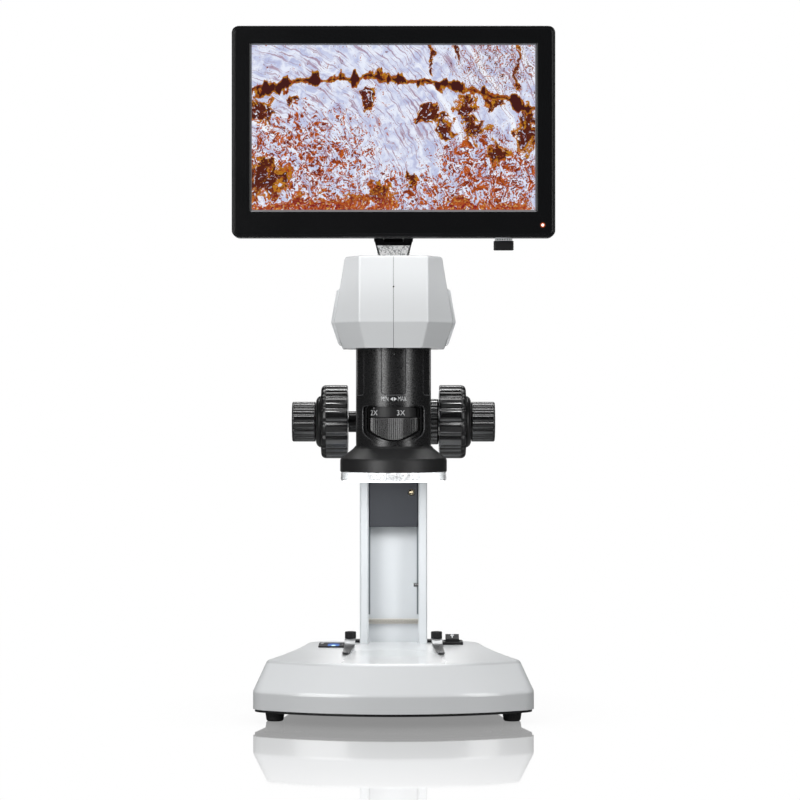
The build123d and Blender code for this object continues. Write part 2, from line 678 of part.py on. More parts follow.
def stage_lamp():
    floor = cup_floor_z()
    pieces = [rod_z(LAMP_BOARD_R, (floor, floor + BOARD_THICK), 0, OPTICAL_Y)]
    top = floor + BOARD_THICK
    half = LAMP_CHIP / 2
    for x, y, _ in spread(LAMP_CHIPS, LAMP_CHIP_PITCH_R, OPTICAL_Y) + [(0.0, OPTICAL_Y, 0.0)]:
        pieces.append(block((x - half, x + half), (y - half, y + half), (top, top + LAMP_CHIP_H)))
    return pieces


# ---------------------------------------------------------------- stage clips
def clip_leaf_z():
    """Middle of the leaf's thickness where it lies level on its post's shoulder."""
    return DECK_Z + CLIP_SHOULDER_H + CLIP_PLAY + CLIP_LEAF_THICK / 2


def clip_cap_z():
    return clip_leaf_z() + CLIP_LEAF_THICK / 2 + CLIP_PLAY


def clip_place(sign):
    return Pos(sign * CLIP_X, CLIP_Y, 0) * Rot(0, 0, sign * CLIP_TOE_OUT)


def clip_leaf(sign):
    """A spring leaf: level at its post, bent down to the stage, then turned up at the tip."""
    half = CLIP_LEAF_THICK / 2
    low = DECK_Z + FREE + half
    level = clip_leaf_z()
    line = [
        (CLIP_ROOT_WIDTH / 2 + 0.6, level),
        (-CLIP_FLAT, level),
        (-(CLIP_FLAT + CLIP_DROP), low + CLIP_DROP_END),
        (-(CLIP_LENGTH - CLIP_CURL), low),
        (-CLIP_LENGTH, low + CLIP_CURL_RISE),
    ]
    side = [(y, z + half) for y, z in line] + [(y, z - half) for y, z in reversed(line)]
    bent = polygon_prism(side, Plane.YZ, CLIP_ROOT_WIDTH)
    bent = Pos(-CLIP_ROOT_WIDTH / 2, 0, 0) * bent
    root, tip = CLIP_ROOT_WIDTH / 2, CLIP_TIP_WIDTH / 2
    plan = make_face(Wire([
        ThreePointArc((root, 0), (0, root), (-root, 0)),
        Line((-root, 0), (-root, -CLIP_FLAT)),
        Line((-root, -CLIP_FLAT), (-tip, -(CLIP_LENGTH - tip))),
        ThreePointArc((-tip, -(CLIP_LENGTH - tip)), (0, -CLIP_LENGTH), (tip, -(CLIP_LENGTH - tip))),
        Line((tip, -(CLIP_LENGTH - tip)), (root, -CLIP_FLAT)),
        Line((root, -CLIP_FLAT), (root, 0)),
    ]))
    leaf = bent & extrude(Pos(0, 0, DECK_Z) * plan, 2 * CLIP_SHOULDER_H)
    leaf -= rod_z(CLIP_POST_R + RUN, (DECK_Z, clip_cap_z() + 1))
    return clip_place(sign) * leaf


def clip_caps():
    """The black thumb caps on top of the two posts."""
    z = clip_cap_z()
    top = z + CLIP_CAP_H
    cap = Pos(0, 0, z) * ribbed_disc(CLIP_CAP_R, 0.3, 18, CLIP_CAP_H)
    cap &= turned([(0, z), (CLIP_CAP_R, z), (CLIP_CAP_R, top - 0.8), (CLIP_CAP_R - 0.8, top), (0, top)], (0, 0))
    cap -= rod_z(CLIP_POST_R, (z - 1, top - 1.5))
    return [clip_place(sign) * cap for sign, _ in SIDES]


# ---------------------------------------------------------------- base electrics
def touch_panel():
    half_x, half_y = PANEL_WIDTH / 2, PANEL_DEPTH / 2
    slab = block((PANEL_X - half_x, PANEL_X + half_x), (PANEL_Y - half_y, PANEL_Y + half_y),
                 (DECK_Z, DECK_Z + PANEL_THICK))
    slab = fillet(slab.edges().filter_by(Axis.Z), PANEL_ROUND)
    return chamfer(slab.faces().sort_by(Axis.Z)[-1].edges(), 0.3)


def switch_frame():
    half_x, half_y = SWITCH_WIDTH / 2, SWITCH_DEPTH / 2
    rim = block((SWITCH_X - half_x, SWITCH_X + half_x), (SWITCH_Y - half_y, SWITCH_Y + half_y),
                (DECK_Z, DECK_Z + SWITCH_RIM))
    rim = fillet(rim.edges().filter_by(Axis.Z), 1.5)
    rim = chamfer(rim.faces().sort_by(Axis.Z)[-1].edges(), 0.5)
    rim += switch_body((switch_bottom_z(), DECK_Z + 0.5))
    pocket_x = ROCKER_WIDTH / 2 + FREE
    pocket_y = ROCKER_R + FREE
    pivot = switch_pivot_z()
    rim -= block((SWITCH_X - pocket_x, SWITCH_X + pocket_x), (SWITCH_Y - pocket_y, SWITCH_Y + pocket_y),
                 (pivot - pocket_y, DECK_Z + SWITCH_RIM + 1))
    reach = ROCKER_WIDTH / 2 + TRUNNION_LENGTH + SEAT_GAP
    rim -= rod_x(TRUNNION_R + RUN, (SWITCH_X - reach, SWITCH_X + reach), SWITCH_Y, pivot)
    return rim


def switch_rocker():
    """The rocker, tipped so that its rear half stands up."""
    end_y = math.sqrt(ROCKER_R**2 - ROCKER_END_Z**2)
    keel = (0.6 * ROCKER_R, -0.8 * ROCKER_R)
    side = make_face(Wire([
        Line((-end_y, ROCKER_END_Z), (0, ROCKER_DIP_Z)),
        Line((0, ROCKER_DIP_Z), (end_y, ROCKER_END_Z)),
        ThreePointArc((end_y, ROCKER_END_Z), (ROCKER_R, 0), keel),
        Line(keel, (-keel[0], keel[1])),
        ThreePointArc((-keel[0], keel[1]), (-ROCKER_R, 0), (-end_y, ROCKER_END_Z)),
    ]))
    body = Pos(-ROCKER_WIDTH / 2, 0, 0) * extrude(Plane.YZ * side, ROCKER_WIDTH, dir=(1, 0, 0))
    reach = ROCKER_WIDTH / 2 + TRUNNION_LENGTH
    body += rod_x(TRUNNION_R, (-reach, reach), 0, 0)
    return Pos(SWITCH_X, SWITCH_Y, switch_pivot_z()) * (Rot(ROCKER_TIP, 0, 0) * body)


def driver_board():
    z = HOUSING_Z + STANDOFF_H
    half_x, half_y = DRIVER_WIDTH / 2, DRIVER_DEPTH / 2
    top = z + BOARD_THICK
    board = block((-half_x, half_x), (DRIVER_Y - half_y, DRIVER_Y + half_y), (z, top))
    coil = rod_z(DRIVER_COIL_R, (top, top + DRIVER_COIL_H), DRIVER_COIL_X, DRIVER_Y - DRIVER_PART_ROW)
    half_chip = DRIVER_CHIP / 2
    chip = block((-half_chip, half_chip), (DRIVER_Y - half_chip, DRIVER_Y + half_chip), (top, top + DRIVER_CHIP_H))
    plug_x = (DRIVER_PLUG_X - DRIVER_PLUG_WIDTH / 2, DRIVER_PLUG_X + DRIVER_PLUG_WIDTH / 2)
    plug_y = (DRIVER_Y + DRIVER_PART_ROW, DRIVER_Y + DRIVER_PART_ROW + DRIVER_PLUG_DEPTH)
    plug = block(plug_x, plug_y, (top, top + DRIVER_COIL_H))
    return [board, coil, chip, plug]


def dc_inlet():
    mid = HOUSING_Z + BAND_HEIGHT / 2
    jack = jack_block(JACK_LENGTH)
    jack -= rod_y(JACK_BORE_R, (REAR_Y - JACK_BORE_DEPTH, REAR_Y + 1), JACK_X, mid)
    return jack + rod_y(JACK_PIN_R, (REAR_Y - JACK_BORE_DEPTH - 1, REAR_Y - 1), JACK_X, mid)


# ---------------------------------------------------------------- pillar
def pillar():
    """An upright extrusion: two walls with a channel in front, and a cable duct behind a web."""
    half = PILLAR_WIDTH / 2
    body = block((-half, half), (PILLAR_FRONT, PILLAR_BACK), (DECK_Z, PILLAR_TOP))
    body = fillet(body.edges().filter_by(Axis.Z).sort_by(Axis.Y)[-2:], PILLAR_REAR_R)
    channel = CHANNEL_WIDTH / 2
    body -= block((-channel, channel), (PILLAR_FRONT - 1, CHANNEL_BACK), (DECK_Z - 1, PILLAR_TOP + 1))
    front = [e for e in body.edges().filter_by(Axis.Z) if abs(e.center().Y - PILLAR_FRONT) < 0.01]
    body = chamfer(front, PILLAR_EDGE)
    body -= block((-channel, channel), (DUCT_FRONT, DUCT_BACK), (DECK_Z - 1, PILLAR_TOP - PILLAR_CAP))
    window = RACK_WIDTH / 2 + 1.5
    tip = PITCH_R + MODULE + FREE
    body -= block((-window, window), (CHANNEL_BACK - 1, SHAFT_Y + tip), (SHAFT_Z - tip, SHAFT_Z + tip))
    body -= rod_x(BUSH_R, (-half - 1, half + 1), SHAFT_Y, SHAFT_Z)
    for x, y in bolt_spots():
        body -= rod_z(BOLT_R, (DECK_Z - 1, DECK_Z + BOLT_GRIP + 0.5), x, y)
    rail = PILLAR_FRONT + RAIL_SETBACK
    for sign, _ in SIDES:
        bed = sorted((sign * (channel - 1), sign * (channel + RAIL_BED)))
        body -= block(bed, (rail, rail + RAIL_WIDTH), (RAIL_BOTTOM, PILLAR_TOP + 1))
    screw_y = PILLAR_FRONT + STOP_SCREW_SETBACK
    return body - rod_x(STOP_SCREW_R, (channel - 1, half - STOP_SCREW_END), screw_y, STOP_SCREW_Z)


def guide_rails():
    rails = []
    y = PILLAR_FRONT + RAIL_SETBACK
    for sign, _ in SIDES:
        x = sorted((sign * (CHANNEL_WIDTH / 2 - RAIL_STAND), sign * (CHANNEL_WIDTH / 2 + RAIL_BED)))
        rails.append(block(x, (y, y + RAIL_WIDTH), (RAIL_BOTTOM, PILLAR_TOP)))
    return rails


def pillar_foot():
    """A low black shoe round the rear and the sides of the pillar's foot."""
    half = PILLAR_WIDTH / 2
    outer = half + FOOT_BLOCK_SIDE
    front = PILLAR_FRONT + FOOT_BLOCK_SETBACK
    top = (DECK_Z, DECK_Z + FOOT_BLOCK_H)
    rear = min(PILLAR_BACK, REAR_Y - SIDE_SLOPE - TOP_EDGE_R - 1.0)
    shoe = block((-outer, outer), (front, rear), top)
    return [s for s in (shoe - block((-half, half), (front - 1, PILLAR_BACK + 1), top)).solids()]


def pillar_bolts():
    bolts = []
    under = DECK_Z - HOUSING_WALL
    for x, y in bolt_spots():
        head = rod_z(BOLT_HEAD_R, (under - BOLT_HEAD_H, under), x, y)
        socket = extrude(Pos(x, y, under - BOLT_HEAD_H) * RegularPolygon(BOLT_KEY_R, 6), BOLT_KEY_DEEP)
        bolts.append(head - socket + rod_z(BOLT_R, (under - 1, DECK_Z + BOLT_GRIP), x, y))
    return bolts


def stop_rod():
    return rod_x(STOP_ROD_R, (-CHANNEL_WIDTH / 2, CHANNEL_WIDTH / 2), CHANNEL_BACK - STOP_ROD_R, STOP_ROD_Z)


def stop_screw():
    channel = CHANNEL_WIDTH / 2
    y = PILLAR_FRONT + STOP_SCREW_SETBACK
    return rod_x(STOP_SCREW_R, (channel - STOP_SCREW_STAND, PILLAR_WIDTH / 2 - STOP_SCREW_END), y, STOP_SCREW_Z)


def shaft_bushes():
    """Bearing bushes in the pillar's side walls. The left one ends in a boss that reaches towards its knob."""
    bushes = []
    wall = (CHANNEL_WIDTH / 2, PILLAR_WIDTH / 2)
    for sign, side in SIDES:
        reach = COARSE_INNER_X - KNOB_GAP if side == "left" else wall[1] + 1.0
        bush = rod_x(BUSH_R, sorted((sign * wall[0], sign * wall[1])), SHAFT_Y, SHAFT_Z)
        bush += rod_x(BUSH_FLANGE_R, sorted((sign * wall[1], sign * reach)), SHAFT_Y, SHAFT_Z)
        bushes.append(bush - rod_x(SHAFT_R + RUN, (-COARSE_INNER_X, COARSE_INNER_X), SHAFT_Y, SHAFT_Z))
    return bushes


# ---------------------------------------------------------------- focus drive
def involute(base_r, radius):
    """The polar angle by which an involute has turned when it reaches a radius."""
    a = math.acos(min(1.0, base_r / radius))
    return math.tan(a) - a


def pinion_face():
    """An involute spur gear, one tooth pointing to -X of its sketch plane."""
    pressure = math.radians(PRESSURE)
    base_r = PITCH_R * math.cos(pressure)
    tip_r = PITCH_R + MODULE
    root_r = PITCH_R - MODULE - TOOTH_ROOT_GAP
    half_tooth = math.pi / (2 * PINION_TEETH) - BACKLASH / (2 * PITCH_R)
    start_r = max(base_r, root_r)
    radii = [start_r + (tip_r - start_r) * k / 6 for k in range(7)]
    flank = [(r, half_tooth + involute(base_r, PITCH_R) - involute(base_r, r)) for r in radii]
    root_angle = flank[0][1]
    points = []
    for tooth in range(PINION_TEETH):
        middle = math.pi + 2 * math.pi * tooth / PINION_TEETH
        rising = [(root_r, -root_angle)] + [(r, -a) for r, a in flank]
        falling = [(r, a) for r, a in reversed(flank)] + [(root_r, root_angle)]
        for r, a in rising + falling:
            points.append((r * math.cos(middle + a), r * math.sin(middle + a)))
    return make_face(Polyline(*points, close=True))


def pinion_shaft():
    """The hollow coarse shaft with its pinion cut in one piece."""
    gear = extrude(pinion_face(), RACK_WIDTH)
    gear = Pos(-RACK_WIDTH / 2, SHAFT_Y, SHAFT_Z) * (Plane.YZ.location * gear)
    shaft = rod_x(SHAFT_R, (-COARSE_OUTER_X, COARSE_OUTER_X), SHAFT_Y, SHAFT_Z)
    return gear + shaft - rod_x(FINE_SHAFT_R + RUN, (-FINE_OUTER_X, FINE_OUTER_X), SHAFT_Y, SHAFT_Z)


def focus_rack():
    """The rack on the carriage's back: straight teeth along Z, with a gap at the pinion's height."""
    pitch = math.pi * MODULE
    lean = math.tan(math.radians(PRESSURE))
    root_half = pitch / 4 - BACKLASH / 4 + (MODULE + TOOTH_ROOT_GAP) * lean
    tip_half = pitch / 4 - BACKLASH / 4 - MODULE * lean
    tip_y = RACK_PITCH_Y + MODULE
    low = SHAFT_Z - pitch * RACK_TEETH_BELOW
    points = [(CARRIAGE_BACK, low), (RACK_ROOT_Y, low)]
    for i in range(RACK_TEETH):
        middle = low + pitch * (i + 0.5)
        points += [(RACK_ROOT_Y, middle - root_half), (tip_y, middle - tip_half)]
        points += [(tip_y, middle + tip_half), (RACK_ROOT_Y, middle + root_half)]
    high = low + pitch * RACK_TEETH
    points += [(RACK_ROOT_Y, high), (CARRIAGE_BACK, high)]
    return Pos(-RACK_WIDTH / 2, 0, 0) * polygon_prism(points, Plane.YZ, RACK_WIDTH)


def on_shaft(solid, sign):
    """Stands a knob that was made round +Z on the shaft, its foot at X = 0 and its head outwards."""
    return Pos(0, SHAFT_Y, SHAFT_Z) * (Rot(0, sign * 90, 0) * solid)


def coarse_knob(sign):
    knob = Pos(0, 0, COARSE_INNER_X) * ribbed_disc(COARSE_R, COARSE_RIB_DEPTH, COARSE_RIBS, COARSE_WIDTH)
    end = COARSE_OUTER_X
    start = COARSE_INNER_X
    knob &= turned([(0, start), (COARSE_R - 1.0, start), (COARSE_R, start + 1.0), (COARSE_R, end - 3.4),
                    (COARSE_R - 0.9, end - 1.2), (COARSE_R - 2.6, end), (0, end)], (0, 0))
    knob -= turned([(BUSH_FLANGE_R + 3.0, start - 1), (COARSE_R - 5.0, start - 1), (COARSE_R - 5.0, start + 6.0),
                    (BUSH_FLANGE_R + 3.0, start + 6.0)], (0, 0))
    return on_shaft(knob - rod_z(SHAFT_R, (start - 1, end + 1)), sign)


def knob_dishes():
    """The domed collars between each coarse knob and its fine knob."""
    start = COARSE_OUTER_X
    dish = turned([(0, start), (DISH_R - 0.6, start), (DISH_R, start + 0.7), (DISH_R - 0.5, start + 1.7),
                   (DISH_R - 1.6, start + 2.9), (DISH_NOSE_R, start + DISH_WIDTH), (0, start + DISH_WIDTH)], (0, 0))
    dish -= rod_z(FINE_SHAFT_R + RUN, (start - 1, start + DISH_WIDTH + 1))
    return [on_shaft(dish, sign) for sign, _ in SIDES]


def fine_shaft():
    return rod_x(FINE_SHAFT_R, (-FINE_OUTER_X + 1.5, FINE_OUTER_X - 1.5), SHAFT_Y, SHAFT_Z)


def fine_knob(sign):
    start, end = FINE_INNER_X, FINE_OUTER_X
    knob = Pos(0, 0, start) * ribbed_disc(FINE_R, FINE_RIB_DEPTH, FINE_RIBS, FINE_WIDTH)
    knob &= turned([(0, start), (FINE_R, start), (FINE_R, end - 2.0), (FINE_R - 0.6, end - 0.7), (FINE_R - 1.8, end),
                    (0, end)], (0, 0))
    knob -= turned([(0, end - 0.8), (FINE_R - 4.0, end - 0.8), (FINE_R - 4.0, end + 1), (0, end + 1)], (0, 0))
    return on_shaft(knob - rod_z(FINE_SHAFT_R, (start - 1, end - 1.5)), sign)


def tension_ring():
    """The ribbed ring on the right of the pillar that sets how stiffly the focus turns."""
    start = PILLAR_WIDTH / 2 + FREE
    end = COARSE_INNER_X - KNOB_GAP
    ring = Pos(0, 0, start) * ribbed_disc(TENSION_R, TENSION_RIB_DEPTH, TENSION_RIBS, end - start)
    ring -= rod_z(BUSH_FLANGE_R + RUN, (start - 1, start + 1.2))
    return on_shaft(ring - rod_z(SHAFT_R + RUN, (start - 1, end + 1)), 1)


# ---------------------------------------------------------------- carriage
def carriage_slide():
    half = CARRIAGE_WIDTH / 2
    body = block((-half, half), (CARRIAGE_FRONT, CARRIAGE_BACK), (CARRIAGE_BOTTOM, CARRIAGE_TOP))
    body = chamfer(body.faces().sort_by(Axis.Y)[0].edges(), CARRIAGE_EDGE)
    rail = PILLAR_FRONT + RAIL_SETBACK
    inner = CHANNEL_WIDTH / 2 - RAIL_STAND - RAIL_PLAY
    for sign, _ in SIDES:
        groove = sorted((sign * inner, sign * (half + 1)))
        body -= block(groove, (rail - RAIL_PLAY, rail + RAIL_WIDTH + RAIL_PLAY), (CARRIAGE_BOTTOM - 1, CARRIAGE_TOP + 1))
    hole = rod_y(LOCK_SCREW_R, (CARRIAGE_FRONT - 1, CARRIAGE_FRONT + LOCK_SCREW_DEPTH), LOCK_SCREW_X, LOCK_SCREW_Z)
    return body - hole


def carriage_screw():
    """The brass lock screw in the carriage's front face, with a domed head."""
    whole = 4 * LOCK_HEAD_R
    head = Sphere(LOCK_HEAD_R) & Box(whole, whole, LOCK_HEAD_R, align=(Align.CENTER, Align.CENTER, Align.MIN))
    head = Rot(90, 0, 0) * (head - Box(whole, LOCK_SLOT, 2 * (LOCK_HEAD_R - LOCK_SLOT_DEEP)))
    face = Pos(LOCK_SCREW_X, CARRIAGE_FRONT, LOCK_SCREW_Z) * head
    return face + rod_y(LOCK_SCREW_R, (CARRIAGE_FRONT, CARRIAGE_FRONT + LOCK_SCREW_DEPTH), LOCK_SCREW_X, LOCK_SCREW_Z)


def carriage_arm():
    """The cast arm between the carriage and the barrel, pocketed from below."""
    half = ARM_WIDTH / 2
    arm = block((-half, half), (OPTICAL_Y, CARRIAGE_FRONT), (ARM_BOTTOM, ARM_TOP))
    arm -= rod_z(BARREL_R, (ARM_BOTTOM - 1, ARM_TOP + 1), 0, OPTICAL_Y)
    near = OPTICAL_Y + BARREL_R + ARM_WALL
    pocket = half - ARM_WALL
    return arm - block((-pocket, pocket), (near, CARRIAGE_FRONT - ARM_WALL), (ARM_BOTTOM - 1, ARM_TOP - ARM_WALL))


# ---------------------------------------------------------------- optics
def window_face(grow):
    """The zoom window seen from the front: flat top, upright sides, and a lower edge that curves down."""
    half = WINDOW_WIDTH / 2 + grow
    top = WINDOW_TOP + 0.25 * grow
    low = WINDOW_BOTTOM - 0.4 * grow
    shoulder = low + WINDOW_BULGE
    outline = Wire([
        Line((-half, top), (half, top)),
        Line((half, top), (half, shoulder)),
        ThreePointArc((half, shoulder), (0, low), (-half, shoulder)),
        Line((-half, shoulder), (-half, top)),
    ])
    face = make_face(outline)
    corners = face.vertices().sort_by(Axis.Y)
    face = fillet(corners[-2:], WINDOW_TOP_R + 0.5 * grow)
    corners = face.vertices().sort_by(Axis.Y)
    return fillet(corners[:2], WINDOW_LOW_R)


def front_cut(face, near, far):
    """A sketch in (X, Z) carried along Y from near to far."""
    plane = Plane(origin=(0, far, 0), x_dir=(1, 0, 0), z_dir=(0, -1, 0))
    return extrude(plane * face, far - near, dir=(0, -1, 0))


def barrel():
    top = MOUNT_PLATE_Z
    tube = rod_z(BARREL_R, (BARREL_BOTTOM, top), 0, OPTICAL_Y)
    inner = BARREL_R - BARREL_WALL
    near = OPTICAL_Y - BARREL_R - 1
    tube -= front_cut(window_face(0.0), near, OPTICAL_Y)
    scoop_floor = BARREL_R - WINDOW_SCOOP_DEPTH
    scoop = front_cut(window_face(WINDOW_SCOOP), near, OPTICAL_Y)
    tube -= scoop - rod_z(scoop_floor, (BARREL_BOTTOM, top), 0, OPTICAL_Y)
    skin = rod_z(BARREL_R + 1, (BARREL_BOTTOM, top), 0, OPTICAL_Y)
    skin -= rod_z(BARREL_R - PANEL_SINK, (BARREL_BOTTOM - 1, top + 1), 0, OPTICAL_Y)
    tall = 2 * (HEAD_BOTTOM - PANEL_BOTTOM)
    pane = fillet(Box(2 * PANEL_HALF_WIDTH, 12, tall).edges().filter_by(Axis.Y), PANEL_CORNER_R)
    pane = Pos(0, -BARREL_R, PANEL_BOTTOM + tall / 2) * pane
    for i in range(PANEL_COUNT):
        tube -= skin & (Pos(0, OPTICAL_Y, 0) * (Rot(0, 0, 360.0 * i / PANEL_COUNT) * pane))
    return tube - rod_z(inner, (BARREL_BOTTOM - 1, top + 1), 0, OPTICAL_Y)


def bell_ring():
    """The flared skirt under the barrel that carries the ring light."""
    rim_top = BELL_BOTTOM + BELL_RIM_H
    inner = BARREL_R - BARREL_WALL
    outside = [
        (0, BELL_BOTTOM), (BELL_R - 0.6, BELL_BOTTOM), (BELL_R, BELL_BOTTOM + 0.6), (BELL_R, rim_top - 1.2),
        (BELL_R - 0.5, rim_top), (BARREL_R + 1.8, BARREL_BOTTOM - 1.6), (BARREL_R + 0.5, BARREL_BOTTOM),
        (0, BARREL_BOTTOM),
    ]
    cone_in = BELL_R - BELL_WALL
    inside = [
        (0, BELL_BOTTOM - 1), (cone_in, BELL_BOTTOM - 1), (cone_in, rim_top - 2.0), (inner - 3.0, BARREL_BOTTOM - 2.4),
        (0, BARREL_BOTTOM - 2.4),
    ]
    axis = (0, OPTICAL_Y)
    return turned(outside, axis) - turned(inside, axis) - rod_z(TUBE_R, (BELL_BOTTOM, BARREL_BOTTOM + 1), 0, OPTICAL_Y)


def optics_tube():
    """The inner lens tube, with the plate on top that carries the camera head."""
    tube = rod_z(TUBE_R, (TUBE_BOTTOM, MOUNT_PLATE_Z + 1), 0, OPTICAL_Y)
    tube += rod_z(MOUNT_PLATE_R, (MOUNT_PLATE_Z, MOUNT_PLATE_Z + MOUNT_PLATE_H), 0, OPTICAL_Y)
    for sign, _ in SIDES:
        post = (MOUNT_PLATE_Z, MOUNT_PLATE_Z + MOUNT_PLATE_H + CAMERA_POST_H)
        tube += rod_z(POST_R, post, sign * CAMERA_POST_X, OPTICAL_Y + CAMERA_POST_X)
        tube += rod_z(POST_R, post, sign * CAMERA_POST_X, OPTICAL_Y - CAMERA_POST_X)
    bore = TUBE_R - TUBE_WALL
    return tube - rod_z(bore, (TUBE_BOTTOM - 1, MOUNT_PLATE_Z + MOUNT_PLATE_H + 1), 0, OPTICAL_Y)


def objective_lens():
    """A thick lens in the tube's mouth, bulging downwards."""
    rim = TUBE_R - TUBE_WALL
    low = TUBE_BOTTOM + LENS_SETBACK
    curve = [(rim * k / 8, low - LENS_BULGE * (1 - (k / 8) ** 2)) for k in range(9)]
    return turned(curve + [(rim, low + LENS_THICK), (0, low + LENS_THICK)], (0, OPTICAL_Y))


def zoom_ring():
    """The turning zoom ring: a smooth scale band over a ribbed grip, seen through the barrel's window."""
    grip = ZOOM_SCALE_BOTTOM - ZOOM_RING_BOTTOM
    ring = Pos(0, OPTICAL_Y, ZOOM_RING_BOTTOM) * ribbed_disc(ZOOM_RING_R, ZOOM_RIB_DEPTH, ZOOM_RIBS, grip)
    ring += rod_z(ZOOM_RING_R - ZOOM_RIB_DEPTH, (ZOOM_SCALE_BOTTOM, ZOOM_RING_TOP), 0, OPTICAL_Y)
    bore = ZOOM_RING_R - ZOOM_RING_WALL
    return ring - rod_z(max(bore, TUBE_R + RUN), (ZOOM_RING_BOTTOM - 1, ZOOM_RING_TOP + 1), 0, OPTICAL_Y)


def zoom_lens_cell():
    """The lens group that rides up and down in the tube as the ring turns."""
    outer = TUBE_R - TUBE_WALL - RUN
    cell = rod_z(outer, (ZOOM_CELL_Z, ZOOM_CELL_Z + ZOOM_CELL_H), 0, OPTICAL_Y)
    waist = rod_z(outer + 1, (ZOOM_CELL_Z + ZOOM_CELL_LAND, ZOOM_CELL_Z + ZOOM_CELL_H - ZOOM_CELL_LAND), 0, OPTICAL_Y)
    waist -= rod_z(outer - 1, (ZOOM_CELL_Z, ZOOM_CELL_Z + ZOOM_CELL_H), 0, OPTICAL_Y)
    cell -= waist
    bore = outer - ZOOM_CELL_WALL
    cell -= rod_z(bore, (ZOOM_CELL_Z - 1, ZOOM_CELL_Z + ZOOM_CELL_H + 1), 0, OPTICAL_Y)
    middle = ZOOM_CELL_Z + ZOOM_CELL_H / 2
    half_lens = ZOOM_LENS_THICK / 2
    return [cell, rod_z(bore, (middle - half_lens, middle + half_lens), 0, OPTICAL_Y)]


def ring_light_cover():
    """The clear ring under the bell, open on top, with a rounded lower rim."""
    low = BELL_BOTTOM - RING_COVER_H
    outer, inner = RING_COVER_R, TUBE_R
    cover = rod_z(outer, (low, BELL_BOTTOM), 0, OPTICAL_Y) - rod_z(inner, (low - 1, BELL_BOTTOM + 1), 0, OPTICAL_Y)
    rim = [e for e in cover.edges() if abs(e.center().Z - low) < 0.01 and e.radius > outer - 0.1]
    cover = fillet(rim, RING_COVER_EDGE_R)
    wall = RING_COVER_WALL
    hollow = rod_z(outer - wall, (low + wall, BELL_BOTTOM + 1), 0, OPTICAL_Y)
    return cover - (hollow - rod_z(inner + wall, (low, BELL_BOTTOM + 2), 0, OPTICAL_Y))


def ring_light_board():
    """The white ring board in the bell, its light-emitting diodes looking down."""
    outer = BELL_R - BELL_WALL
    board = rod_z(outer, (BELL_BOTTOM, BELL_BOTTOM + BOARD_THICK), 0, OPTICAL_Y)
    board -= rod_z(TUBE_R, (BELL_BOTTOM - 1, BELL_BOTTOM + 3), 0, OPTICAL_Y)
    pieces = [board]
    half = RING_LED_SIZE / 2
    for x, y, angle in spread(RING_LEDS, RING_LED_PITCH_R, OPTICAL_Y):
        chip = block((-half, half), (-half, half), (BELL_BOTTOM - RING_LED_H, BELL_BOTTOM))
        pieces.append(Pos(x, y, 0) * (Rot(0, 0, angle) * chip))
    return pieces


# ---------------------------------------------------------------- camera head
def head_section(z, half_width, face_half, half_depth, facet):
    """An eight-sided section of the head at a height, centred on the optical axis."""
    points = []
    for sx, sy in ((1, -1), (1, 1), (-1, 1), (-1, -1)):
        face = (sx * face_half, OPTICAL_Y + sy * half_depth)
        side = (sx * half_width, OPTICAL_Y + sy * (half_depth - facet))
        points += [face, side] if sx == -sy else [side, face]
    return Pos(0, 0, z) * make_face(Polyline(*points, close=True))


def head_form(inset):
    """The head's faceted form moved in by inset: drawn in below its widest edge and leaning in above it."""
    width = HEAD_HALF_WIDTH - inset
    depth = HEAD_HALF_DEPTH - inset
    face = HEAD_FACE_HALF - 0.4 * inset
    waist = head_section(HEAD_WAIST, width, face, depth, HEAD_FACET)
    chin = head_section(HEAD_BOTTOM + inset, width - HEAD_CHIN, face - 0.7 * HEAD_CHIN, depth - HEAD_CHIN, HEAD_FACET)
    crown = head_section(HEAD_TOP - inset, width - HEAD_TOP_TAPER, face, depth - HEAD_TOP_LEAN, HEAD_FACET)
    return loft([chin, waist], ruled=True) + loft([waist, crown], ruled=True)


def head_shell(sign):
    """One half of the head's white shell, split on the centre plane."""
    form = head_form(0.0)
    form = fillet([e for e in form.edges() if e.center().Z > HEAD_BOTTOM + 0.1], HEAD_EDGE_R)
    shell = form - head_form(HEAD_WALL)
    shell -= rod_z(BARREL_R + SEAT_GAP, (HEAD_BOTTOM - 1, MOUNT_PLATE_Z + 0.5), 0, OPTICAL_Y)
    shell -= rod_z(SWIVEL_R + RUN, (HEAD_TOP - HEAD_WALL - 1, HEAD_TOP + 1), 0, NECK_Y)
    wide = 2 * HEAD_HALF_WIDTH
    deep = 2 * HEAD_HALF_DEPTH
    keep = block(sorted((sign * HEAD_SEAM / 2, sign * wide)), (OPTICAL_Y - deep, OPTICAL_Y + deep),
                 (HEAD_BOTTOM - 1, HEAD_TOP + 1))
    return shell & keep


